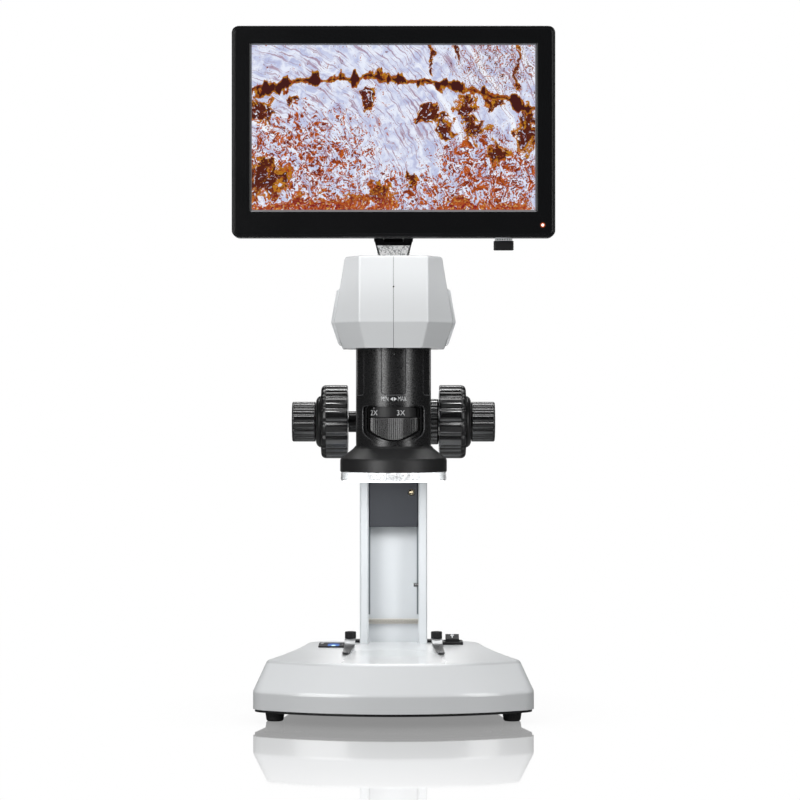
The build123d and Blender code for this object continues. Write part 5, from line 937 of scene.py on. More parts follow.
def display_picture(colours, strength):
    """A stained section as a pattern, in millimetres from the picture's middle: a pale ground with streaks
    that bend round a far centre, specks and blotches where the lists above put them, upright streaks in the
    upper right, and a knotted dark vein that arches across the upper third."""
    finish = Finish("display_picture")
    mix, between, noise, moved = finish.mix, finish.between, finish.noise, finish.moved
    plus, minus, times, vector = finish.plus, finish.minus, finish.times, finish.vector
    flat = moved((1000, 0, 1000), (-SCREEN_MIDDLE.x * 1000, 0.0, -SCREEN_MIDDLE.z * 1000))
    across, up = finish.axis("X", flat), finish.axis("Z", flat)
    wobble = vector("SUBTRACT", noise(0.09, 5.0, flat, "Color"), (0.5, 0.5, 0.5))
    pushed = vector("SCALE", wobble, 22.0)
    bent = vector("ADD", flat, pushed)

    def gathered(places):
        """The greatest of soft ellipses, each 1 in its middle and 0 outside."""
        total = 0.0
        for x, z, half_x, half_z in places:
            local = moved((1 / half_x, 0, 1 / half_z), (-x / half_x, 0, -z / half_z), of=bent)
            total = finish.most(total, between(vector("LENGTH", local), 1.25, 0.25))
        return total

    # the ground's streaks: noise over the distance from the far centre and the direction from it
    far = vector("SUBTRACT", vector("ADD", flat, vector("SCALE", pushed, 0.35)), (-130.0, 0.0, -80.0))
    bearing = times(finish.math("ARCTAN2", finish.axis("Z", far), finish.axis("X", far)), 9.0)
    lines = finish.add("ShaderNodeCombineXYZ", {"X": vector("LENGTH", far), "Y": bearing}).outputs[0]
    ground = mix(between(noise(0.14, 5.0, bent), 0.35, 0.68), (0.80, 0.84, 0.96, 1.0), tuple(colours.tissue))
    ground = mix(between(noise(0.3, 5.0, bent), 0.5, 0.75, 0.0, 0.3), ground, (0.36, 0.33, 0.50, 1.0))
    ground = mix(between(noise(0.14, 4.0, lines), 0.52, 0.68, 0.0, 0.85), ground, (0.90, 0.93, 1.0, 1.0))
    ground = mix(between(noise(0.8, 5.0, lines), 0.53, 0.64, 0.0, 0.8), ground, (0.34, 0.20, 0.28, 1.0))

    # specks: cells that grow where specks gather
    blotches = gathered(BLOTCHES)
    specks = finish.most(gathered(SPECKLES), times(blotches, 0.8))
    tone = between(noise(0.45, 4.0, bent), 0.38, 0.62)
    shaken = vector("ADD", bent, vector("SCALE", noise(0.7, 3.0, flat, "Color"), 2.0))
    cells = finish.add("ShaderNodeTexVoronoi", {"Vector": moved((1, 1, 0.8), of=shaken), "Scale": 0.62})
    grow = between(noise(0.22, 4.0, bent), 0.3, 0.7, -0.22, 0.30)
    reach = plus(between(specks, 0.0, 1.0, 0.0, 0.50), grow)
    speck = between(minus(cells.outputs["Distance"], reach), 0.05, -0.05)
    picture = mix(speck, ground, mix(tone, (0.15, 0.014, 0.006, 1.0), (0.50, 0.10, 0.010, 1.0)))

    # blotches: ragged stains with dark hearts and holes, redder along the foot
    rust, ochre, dark = tuple(colours.rust), (0.46, 0.19, 0.010, 1.0), (0.085, 0.012, 0.004, 1.0)
    over = plus(times(blotches, 0.46), minus(noise(0.17, 7.0, moved((1, 1, 0.8), of=bent)), 0.745))
    fill = mix(between(noise(0.9, 3.0, bent), 0.6, 0.72), mix(tone, ochre, rust), (0.75, 0.42, 0.12, 1.0))
    fill = mix(between(plus(over, times(tone, 0.08)), 0.11, 0.19), fill, dark)
    glow = between(noise(0.35, 4.0, bent), 0.42, 0.58)
    ember = mix(glow, (0.25, 0.012, 0.016, 1.0), (0.52, 0.10, 0.016, 1.0))
    ember = mix(between(noise(0.6, 4.0, flat), 0.54, 0.64), ember, (0.74, 0.40, 0.10, 1.0))
    fill = mix(times(between(up, -38.0, -56.0), 0.85), fill, ember)
    holes = between(noise(0.42, 4.0, bent), 0.36, 0.43)
    picture = mix(times(between(over, -0.005, 0.02), holes), picture, fill)

    # upright streaks, broken into dashes
    upright = noise(1.0, 4.0, moved((0.85, 1, 0.10), of=bent))
    line = between(plus(upright, times(gathered(STREAKED_CORNER), 0.16)), 0.64, 0.71)
    dash = between(noise(1.1, 2.0, flat), 0.42, 0.5)
    picture = mix(times(line, dash), picture, mix(tone, dark, rust))

    # the vein: distance to an arch that wanders, and swells into knots
    offset = plus(across, 22.0)
    arch = minus(34.5, times(times(offset, offset), 0.00155))
    wander = times(minus(noise(0.07, 6.0, flat), 0.5), 16.0)
    gap = finish.size(plus(minus(up, arch), wander))
    thick = between(noise(0.10, 5.0, moved((1, 1, 0.3), of=flat)), 0.48, 0.66, 0.2, 6.0)
    ragged = times(minus(noise(0.22, 6.0, flat), 0.5), 5.0)
    edge = minus(plus(gap, ragged), thick)
    picture = mix(between(edge, 2.0, 1.3), picture, mix(tone, ochre, (0.26, 0.035, 0.008, 1.0)))
    picture = mix(between(edge, 0.6, -0.4), picture, tuple(colours.vein))
    return finish.made(
        Base_Color=(0.004, 0.004, 0.005, 1.0), Roughness=0.3, Specular_IOR_Level=0.04,
        Emission_Color=picture, Emission_Strength=strength,
    )


# ---------------------------------------------------------------- operators
class MICROSCOPE_OT_base(bpy.types.Operator):
    """Finishes of the base: its white housing, plate, feet, screws and everything inside"""
    bl_idname = "microscope.base"
    bl_label = "Base"

    def execute(self, context):
        colours = context.scene.microscope_colours
        dress(base_white(colours), "base_housing")
        dress(plain(colours, "satin_black"), "base_plate", "pillar_foot", "dc_inlet", "switch_frame")
        dress(plain(colours, "foot_rubber"), "rubber_feet")
        dress(steel(colours), "base_screws", "pillar_bolts")
        dress(frosted_plate(), "stage_glass")
        dress(moulded("reflector_white", (0.8, 0.8, 0.8, 1.0), 0.4, 700.0, 1e-5), "stage_cup")
        dress(board_finish(tuple(colours.board)), "stage_lamp", "driver_board", "camera_board")
        return {"FINISHED"}


class MICROSCOPE_OT_clips(bpy.types.Operator):
    """The two stage clips: bent spring leaves under fluted caps"""
    bl_idname = "microscope.clips"
    bl_label = "Stage clips"

    def leaf(self, sizes, post, sign):
        """A ribbon carried along the leaf's bent side line, with a rounded edge: (length, across) rows of a
        flat loop. The root end is a half circle round the post and the tip is a small one."""
        deck, level, reach = DECK_Z + 0.3 * MM, DECK_Z + sizes.leaf_rise, sizes.leaf_length
        side = smooth_line(
            [(4.5 * MM, level), (-5.0 * MM, level), (-12.0 * MM, deck + 1.6 * MM),
             (6.0 * MM - reach, deck + 0.3 * MM), (-reach, deck + 1.9 * MM)],
            [0, 2.2 * MM, 3.0 * MM, 4.0 * MM, 0], 8,
        )
        line, tangent = along_line(side, 90)
        along, height = line.T
        root, tip = sizes.leaf_root / 2, sizes.leaf_tip / 2
        half = np.interp(-along, [5.0 * MM, reach - tip], [root, tip])
        half = np.where(along > 0, np.sqrt(np.clip(root ** 2 - along ** 2, 0, None)), half)
        end = np.clip((-along - (reach - tip)) / tip, 0, 1)
        half = np.maximum(half * np.sqrt(1 - end ** 2), 0.01 * MM)
        thick = sizes.leaf_thick / 2
        loop = rounded_rectangle(half, thick, np.minimum(0.8 * thick, 0.8 * half), 3)
        x = loop[..., 0]
        y = along[:, None] + loop[..., 1] * tangent[:, 1:]
        z = height[:, None] + loop[..., 1] * np.abs(tangent[:, :1])
        toe = sign * sizes.leaf_toe
        turned_x = post.x + x * math.cos(toe) - y * math.sin(toe)
        turned_y = post.y + x * math.sin(toe) + y * math.cos(toe)
        return sheet_of(close_ends(np.stack([turned_x, turned_y, z], axis=-1)))

    def cap(self, sizes, post):
        """A fluted cap over a clip's post, sunk in the middle of its top."""
        low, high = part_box("clip_caps")
        radius, sunk = (high.y - low.y) / 2, high.z - 0.4 * MM
        profile = smooth_line(
            [(0, low.z), (radius, low.z), (radius, high.z), (0.6 * radius, high.z), (0.5 * radius, sunk),
             (0, sunk)],
            [0, 0.3 * MM, 0.8 * MM, 0.3 * MM, 0.3 * MM, 0],
        )
        angles = round_angles(8 * sizes.cap_flutes)
        grip = np.clip((profile[:, :1] / radius - 0.85) / 0.1, 0, 1)
        radii = profile[:, :1] - sizes.cap_depth * grip * valley(angles, sizes.cap_flutes, 0.5)
        return sheet_of(turned(radii, profile[:, 1], angles) + np.array([post.x, post.y, 0]))

    def execute(self, context):
        colours, sizes = context.scene.microscope_colours, context.scene.microscope_stand
        metal, black = clip_steel(colours), plain(colours, "satin_black")
        posts = {side: JOINT_PLACES[f"clip_{side}_turn"] for side, _ in SIDES}
        for side, sign in SIDES:
            leaf, body = self.leaf(sizes, posts[side], sign), f"clip_{side}"
            add_piece(f"stage_clip_{side}", [leaf], body, metal, [f"clip_leaf_{side}"])
        caps = [self.cap(sizes, post) for post in posts.values()]
        add_piece("clip_thumb_caps", caps, "stand", black, ["clip_caps"])
        return {"FINISHED"}


class MICROSCOPE_OT_controls(bpy.types.Operator):
    """The touch panel with its blue light and marks, and the rocker with its lamp mark"""
    bl_idname = "microscope.controls"
    bl_label = "Base controls"

    def execute(self, context):
        colours, sizes = context.scene.microscope_colours, context.scene.microscope_stand
        low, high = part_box("touch_panel")
        x, y, top = (low.x + high.x) / 2, (low.y + high.y) / 2, high.z + sizes.mark_thick / 2
        thick, beside, glow_size, bar_size = sizes.mark_thick / MM, 7.4 * MM, (8.4, 27.0), (1.8, 0.35)
        dress(plain(colours, "touch_black"), "touch_panel")
        spot = Vector((x + 1.2 * MM, low.y + 6.0 * MM, high.z))
        window = block_at((*glow_size, thick), 1.5, 0.01, (spot.x, y, top))
        add_piece("touch_window", [window], "stand", touch_glow(colours, spot), ())
        marks = [
            block_at((*bar_size, thick), 0.15, 0.01, (x - beside, y, top)),
            block_at((*bar_size, thick), 0.15, 0.01, (x + beside, y, top)),
            block_at((*bar_size[::-1], 0.9 * thick), 0.15, 0.01, (x + beside, y, top)),
            thin_ring(1.1 * MM, 0.14 * MM, (x - beside, y + 8.0 * MM, top)),
        ]
        add_piece("touch_marks", marks, "stand", print_white(colours), ())
        self.rocker(colours)
        return {"FINISHED"}

    def rocker(self, colours):
        """The CAD rocker's finish, and a lamp mark on its front slope: a ring and three short bars."""
        dress(plain(colours, "satin_black"), "switch_rocker")
        normal = Vector((0, -0.49, 0.87)).normalized()
        up = normal.cross(Vector((1, 0, 0)))
        slope = Vector((JOINT_PLACES["switch_rock"].x, 64.4 * MM, 46.31 * MM))
        centre = slope + normal * 0.16 * MM
        parts = [thin_ring(0.7 * MM, 0.2 * MM, centre + up * 1.9 * MM, normal)]
        for end_x, end_up in ((-1.2, 1.5), (1.2, 1.5), (0.0, -1.9)):
            end = Vector((end_x * MM, 0, 0)) + up * end_up * MM
            bar = rounded_block((end.length / MM, 0.62, 0.12), 0.1, 0.02)
            parts.append(sheet_of(on_axis(bar, centre + end / 2, normal, end)))
        add_piece("rocker_mark", parts, "power_switch", print_white(colours), ())


class MICROSCOPE_OT_pillar(bpy.types.Operator):
    """The pillar, its rails, the carriage and the knurled stop rod"""
    bl_idname = "microscope.pillar"
    bl_label = "Pillar and carriage"

    def execute(self, context):
        colours, sizes = context.scene.microscope_colours, context.scene.microscope_stand
        dress(plain(colours, "pillar_white"), "pillar")
        # painted shade: the rails' dark grey stands for the shade in the channel's back corners
        dress(plain(colours, "rail_grey"), "guide_rails")
        dress(plain(colours, "carriage_grey"), "carriage_slide", "carriage_arm")
        dress(brass(colours), "carriage_screw", "focus_rack")
        dress(knob_black(colours), "stop_screw")
        self.stop_rod(colours, sizes)
        return {"FINISHED"}

    def stop_rod(self, colours, sizes):
        """A rod with two sets of grooves that wind round it either way, over a dark core that shows through
        the grooves as painted shade.
        """
        low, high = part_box("stop_rod")
        place = (0, (low.y + high.y) / 2, (low.z + high.z) / 2)
        radius = (high.z - low.z) / 2
        angles = round_angles(16 * sizes.rod_grooves)
        x = np.linspace(low.x, high.x, 280)
        turn, phase = angles * sizes.rod_grooves, x[:, None] * sizes.rod_grooves / radius
        cut = np.maximum(np.abs(np.sin((turn + phase) / 2)), np.abs(np.sin((turn - phase) / 2)))
        radii = radius - sizes.rod_depth * np.clip((1.0 - cut) * 5, 0, 1)
        ends = np.array([low.x, high.x]) * 0.999
        # painted shade: the dark core shows through the bottoms of the grooves
        shade_core = turned(np.full(2, radius - 0.6 * sizes.rod_depth), ends, round_angles(32))
        rod, shade_core = (
            sheet_of(close_ends(on_axis(points, place, (1, 0, 0), (0, 1, 0))))
            for points in (turned(radii, x, angles), shade_core)
        )
        add_piece("stop_rod_core", [shade_core], "stand", plain(colours, "satin_black"), ())
        # painted light: a paler copy of the brass, lightened so that the rod stays bright in the channel's
        # shade
        pale = brushed("pale_brass", tuple(0.4 * c + 0.55 for c in colours.brass[:3]) + (1.0,), 0, 0.4, 0.3)
        add_piece("knurled_stop_rod", [rod], "stand", pale, ["stop_rod"], 60.0)


class MICROSCOPE_OT_knobs(bpy.types.Operator):
    """The focus drive: coarse and fine knobs, tension ring, dishes, bushes and shafts"""
    bl_idname = "microscope.knobs"
    bl_label = "Focus knobs"

    def execute(self, context):
        colours, sizes = context.scene.microscope_colours, context.scene.microscope_knobs
        black = knob_black(colours)
        kinds = (
            ("coarse", self.coarse, sizes.coarse_ribs, sizes.coarse_depth),
            ("fine", self.fine, sizes.fine_ribs, sizes.fine_depth),
        )
        for side, sign in SIDES:
            for kind, shape, ribs, depth in kinds:
                low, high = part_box(f"{kind}_knob_{side}")
                inner, outer = sorted((abs(low.x), abs(high.x)))
                radius = (high.z - low.z) / 2
                grip = self.grip(shape(sizes, inner, outer, radius), radius, ribs, depth, sizes.ridge, sign)
                add_piece(f"{kind}_grip_{side}", [grip], f"{kind}_focus", black, [f"{kind}_knob_{side}"],
                          65.0)
        ring = self.tension(sizes)
        add_piece("tension_grip", [ring], "tension", black, ["tension_ring"])
        dress(black, "knob_dishes")
        dress(plain(colours, "gloss_black"), "shaft_bushes")
        dress(steel(colours), "pinion_shaft", "fine_shaft")
        return {"FINISHED"}

    def grip(self, profile, grip_radius, ribs, depth, ridge, sign):
        """A turned grip round the shaft: the profile's radius less depth times the valley curve, where the
        profile reaches the grip's radius."""
        angles = round_angles(32 * ribs)
        weight = np.clip((profile[:, :1] / grip_radius - 0.80) / 0.14, 0, 1)
        points = turned(profile[:, :1] - depth * weight * valley(angles, ribs, ridge), profile[:, 1], angles)
        return sheet_of(on_axis(points, SHAFT_PLACE, (sign, 0, 0), (0, 1, 0)), wrap_rows=True)

    def coarse(self, sizes, inner, outer, radius):
        """A coarse knob's profile: hollowed towards the pillar, its rim rounded more on the outer edge."""
        bore, hub, wall, floor = sizes.bore, 10.6 * MM, radius - 5.0 * MM, inner + sizes.recess
        return smooth_line(
            [(bore, inner), (hub, inner), (hub, floor), (wall, floor), (wall, inner), (radius, inner),
             (radius, outer), (bore, outer), (bore, inner)],
            [0, *[0.5 * MM] * 4, 1.2 * MM, sizes.coarse_edge, 0.2 * MM, 0], 6,
        )[:-1]

    def fine(self, sizes, inner, outer, radius):
        """A fine knob's profile: a shallow dished end inside a rounded rim."""
        bore, dish, step, floor = 2.55 * MM, radius - 4.0 * MM, 0.8 * MM, outer - 1.5 * MM
        return smooth_line(
            [(0, floor), (bore, floor), (bore, inner), (radius, inner), (radius, outer), (dish, outer),
             (dish - step, outer - step), (0, outer - step), (0, floor)],
            [0, 0, 0.2 * MM, 0.8 * MM, sizes.fine_edge, 0.6 * MM, 0.6 * MM, 0, 0], 6,
        )[:-1]

    def tension(self, sizes):
        """The tension ring, stepped in its bore."""
        low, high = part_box("tension_ring")
        radius, bore, step, seat = (high.z - low.z) / 2, sizes.bore, low.x + 2.0 * MM, 7.7 * MM
        profile = smooth_line(
            [(bore, step), (seat, step), (seat, low.x), (radius, low.x), (radius, high.x), (bore, high.x),
             (bore, step)],
            [0, 0, 0.3 * MM, 0.8 * MM, 1.2 * MM, 0.3 * MM, 0],
        )[:-1]
        return self.grip(profile, radius, sizes.tension_ribs, sizes.tension_depth, sizes.ridge, 1)


class MICROSCOPE_OT_optics(bpy.types.Operator):
    """The barrel, bell and zoom ring with their marks, and the ring light"""
    bl_idname = "microscope.optics"
    bl_label = "Optics"

    def execute(self, context):
        colours, sizes = context.scene.microscope_colours, context.scene.microscope_optics
        metal = barrel_black(colours).material
        dress(panelled_black(colours, sizes), "barrel")
        dress(metal, "optics_tube", "zoom_lens_cell")
        satin = moulded("bell_black", toned(colours.barrel, 1.3), 0.46, 1800.0, 5e-6, shine=0.6)
        dress(satin, "bell_ring")
        dress(coated_lens(), "objective_lens")
        dress(clear_cover(), "ring_light_cover")
        dress(glowing("ring_lamps", WHITE, 0.7), "ring_light_board")
        self.zoom_ring(sizes, colours)
        self.window_bead(sizes)
        self.window_seal(sizes)
        self.legend(sizes, colours)
        self.screw(sizes, colours)
        return {"FINISHED"}

    def zoom_ring(self, sizes, colours):
        """A ribbed grip under a smooth scale band, closed inside, and its raised numbers and ticks."""
        low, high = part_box("zoom_ring")
        radius, bore, band = (high.x - low.x) / 2, 19.5 * MM, high.z - sizes.scale_height
        band_radius = radius - sizes.ring_depth
        profile = smooth_line(
            [(bore, low.z), (radius, low.z), (radius, band), (band_radius, band + 0.5 * MM),
             (band_radius, high.z), (bore, high.z), (bore, low.z)],
            [0, 0.6 * MM, 0.5 * MM, 0.3 * MM, 0.5 * MM, 0, 0],
        )[:-1]
        angles = round_angles(8 * sizes.ring_ribs)
        ribbed = (profile[:, :1] > band_radius + 1e-6) & (profile[:, 1:] < band + 0.4 * MM)
        radii = profile[:, :1] - sizes.ring_depth * ribbed * valley(angles, sizes.ring_ribs, 0.55)
        ring = sheet_of(turned(radii, profile[:, 1], angles) + np.array([0, OPTICAL_Y, 0]), wrap_rows=True)
        add_piece("zoom_grip", [ring], "zoom", zoom_black(colours, band), ["zoom_ring"])
        marks = []
        face = band_radius + sizes.print_thick / 2
        number_z = band + 0.36 * sizes.scale_height
        for step, text in enumerate(("2X", "3X", "4X")):
            turn = sizes.first_mark + step * sizes.mark_step
            marks.append(wrapped(letters(text, sizes.mark_height, sizes.print_thick), face, turn, number_z))
            if text != "3X":
                tick = block_at((0.35, 1.5, sizes.print_thick / MM), 0.1, 0.01, (0, 0, 0))
                marks.append(wrapped(tick, face, turn, number_z + sizes.mark_height))
        add_piece("zoom_numbers", marks, "zoom", print_white(colours), (), 60.0)

    def window_bead(self, sizes):
        """A fine polished bead down each upright edge of the hollow round the zoom window: a round wire
        that follows the window's outline and thins to its ends."""
        half = sizes.window_width / 2 + sizes.bead_gap
        top, low = sizes.window_top, sizes.window_low
        outline = smooth_line(
            [(half - 4.5 * MM, top + 0.6 * MM), (half, top + 0.4 * MM), (half, low + 5.0 * MM),
             (half - 7.0 * MM, low - 0.2 * MM)],
            [0, 3.5 * MM, 4.0 * MM, 0], 8,
        )
        count, sides, sink = 60, 10, 0.06 * MM
        line, tangent = along_line(outline, count)
        run = np.clip(np.linspace(0, 1, count), 0.02, 0.98)[:, None]
        wire = sizes.bead_radius * np.sin(np.pi * run) ** 0.35
        rows = [close_ends(wire_on_barrel(line, tangent, wire, sides, sink, sign)) for sign in (-1, 1)]
        bead = moulded("bead_black", (0.055, 0.055, 0.058, 1.0), 0.22, 1200.0, 2e-6, shine=0.6)
        add_piece("window_bead", [sheet_of(row) for row in rows], "carriage", bead, (), 60.0)

    def window_seal(self, sizes):
        """A painted shadow round the window's inner edge: a matt black round wire along the window's outline,
        whose lower edge is the parabola 7 mm (x / half)^2 over the window's foot."""
        half, top, low = sizes.window_width / 2, sizes.window_top, sizes.window_low
        foot = [(half * x, low + 7.0 * MM * x ** 2) for x in np.linspace(-1, 1, 17)]
        corners = foot + [(half, top), (-half, top), foot[0]]
        line = smooth_line(corners, [1.0 * MM] * len(foot) + [2.5 * MM, 2.5 * MM, 0], 5)[:-1]
        tangent = np.roll(line, -1, axis=0) - np.roll(line, 1, axis=0)
        tangent /= np.linalg.norm(tangent, axis=1, keepdims=True)
        rows = wire_on_barrel(line, tangent, sizes.shade_line_radius, 8, 1.75 * MM)
        # painted shadow: the matt black wire stands for the shade in the gap round the window
        matt = moulded("seal_black", (0.004, 0.004, 0.004, 1.0), 0.85, 1500.0, 5e-6, shine=0.1)
        add_piece("window_seal", [sheet_of(rows, wrap_rows=True)], "carriage", matt, (), 60.0)

    def legend(self, sizes, colours):
        """MIN and MAX with two arrow heads between them, printed on the barrel over the window."""
        thick, rise = sizes.print_thick, sizes.legend_z
        out = BARREL_RADIUS + thick / 2
        parts = []
        for text, turn in (("MIN", -sizes.legend_turn), ("MAX", sizes.legend_turn)):
            flat = letters(text, sizes.legend_height, thick, sizes.legend_width)
            parts.append(wrapped(flat, out, turn, rise))
        half, near, tip = 0.42 * sizes.legend_height, 0.3 * MM, 2.3 * MM
        for sign in (-1, 1):
            outline = [(sign * near, half), (sign * near, -half), (sign * tip, 0.0)]
            flat = np.array([(x, y, z) for z in (-thick / 2, thick / 2) for x, y in outline])
            faces = [(0, 1, 2), (5, 4, 3), (0, 3, 4, 1), (1, 4, 5, 2), (2, 5, 3, 0)]
            parts.append(wrapped((flat, faces), out, 0.0, rise))
        add_piece("zoom_legend", parts, "carriage", print_white(colours), (), 60.0)

    def screw(self, sizes, colours):
        """A small grub screw in the barrel's front: a sunk disc with a hexagon socket."""
        radius = sizes.screw_radius
        inner, floor, back = 0.45 * radius, -0.5 * MM, -0.8 * MM
        profile = smooth_line(
            [(0, floor), (inner, floor), (inner, 0.05 * MM), (radius, 0.15 * MM), (radius, back), (0, back)],
            [0, 0.05 * MM, 0.08 * MM, 0.1 * MM, 0, 0], 3,
        )
        angles = round_angles(24)
        hexagon = math.cos(math.pi / 6) / np.cos((angles % (math.pi / 3)) - math.pi / 6)
        radii = profile[:, :1] * np.where(profile[:, :1] < 0.6 * radius, hexagon, 1.0)
        place = (0, OPTICAL_Y - BARREL_RADIUS + 0.4 * MM, sizes.screw_z)
        screw = sheet_of(on_axis(turned(radii, profile[:, 1], angles), place))
        add_piece("barrel_screw", [screw], "carriage", knob_black(colours), ())


class MICROSCOPE_OT_head(bpy.types.Operator):
    """The camera head: its white shells, the dark strip in their seam, and the small plug"""
    bl_idname = "microscope.head"
    bl_label = "Camera head"

    def execute(self, context):
        colours, sizes = context.scene.microscope_colours, context.scene.microscope_head
        waist = HEAD_LOW.z + sizes.waist_rise
        dress(housing_white(colours, waist), "head_shell_left", "head_shell_right", "side_caps")
        front, rear = HEAD_LOW.y + sizes.seam_sink, HEAD_HIGH.y - sizes.seam_sink
        low, high = HEAD_LOW.z + sizes.seam_sink, HEAD_HIGH.z - sizes.seam_sink
        outline = np.array([
            (front + sizes.chin, low), (front, waist), (front + sizes.lean, high),
            (rear - sizes.lean, high), (rear, waist), (rear - sizes.chin, low),
        ])
        centre = outline.mean(axis=0)
        depth = 0.035
        inner = centre + (outline - centre) * (1 - depth)
        half = sizes.seam_width / 2
        section = [(outline, -half), (outline, half), (inner, half), (inner, -half)]
        rows = np.stack([np.column_stack([np.full(len(line), x), line]) for line, x in section])
        seam = sheet_of(rows, wrap_rows=True)
        add_piece("head_seam", [seam], "carriage", seam_grey(colours), ())
        slope = sizes.lean / (HEAD_HIGH.z - waist)
        place = (0, HEAD_LOW.y + (sizes.plug_z - waist) * slope, sizes.plug_z)
        radius = sizes.plug_radius / MM
        plug = button([(0, 0.1), (radius, 0.1), (radius, -0.6), (0, -0.6)], [0, 0.1, 0, 0], 4, 20, place)
        add_piece("seam_plug", [plug], "carriage", plain(colours, "satin_black"), ())
        return {"FINISHED"}


class MICROSCOPE_OT_neck(bpy.types.Operator):
    """The black neck, its speckled plate with toothed sides, which paints a highlight on the neck's front,
    and the hinge
    """
    bl_idname = "microscope.neck"
    bl_label = "Neck"

    def execute(self, context):
        colours = context.scene.microscope_colours
        dress(plain(colours, "gloss_black"), "neck_housing", "hinge_leaf")
        dress(steel(colours), "hinge_pin")
        low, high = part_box("neck_plate")
        foot_half, top_half, edge, teeth = 10.2 * MM, 11.9 * MM, 0.2 * MM, 8
        rows = []
        for inset, y in ((0, high.y), (0, low.y + edge), (edge, low.y)):
            foot, top = foot_half - inset, top_half - inset
            below, above = low.z + inset, high.z - inset
            rows.append([(-foot, y, below), (foot, y, below), (top, y, above), (-top, y, above)])
        plate = sheet_of(close_ends(np.array(rows)))
        # painted highlight: the bright plate stands where the neck's glossy black front shows a highlight
        add_piece("speckled_plate", [plate], "neck", speckled_silver(), ["neck_plate"])
        parts = []
        for rise in (np.arange(teeth) + 0.5) / teeth:
            z = low.z + rise * (high.z - low.z)
            x = foot_half + rise * (top_half - foot_half)
            for sign in (-1, 1):
                parts.append(block_at((0.75, 1.0, 0.6), 0.2, 0.1, (sign * x, low.y + 0.35 * MM, z)))
        add_piece("neck_teeth", parts, "neck", plain(colours, "satin_black"), ())
        self.sill(colours)
        return {"FINISHED"}

    def sill(self, colours):
        """A low sill across the neck's notch, behind the hinge's knuckle."""
        hinge = JOINT_PLACES["monitor_tilt"]
        knuckle = hinge.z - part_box("hinge_leaf")[0].z
        low, top = hinge.z - knuckle - 0.6 * MM, hinge.z - 0.58 * knuckle
        front, back = hinge.y + knuckle + 0.9 * MM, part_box("neck_housing")[1].y - 0.2 * MM
        notch = 13.8
        size = (notch, (back - front) / MM, (top - low) / MM)
        sill = block_at(size, 0.4, 0.2, (0, (back + front) / 2, (top + low) / 2))
        add_piece("hinge_sill", [sill], "neck", plain(colours, "satin_black"), ())


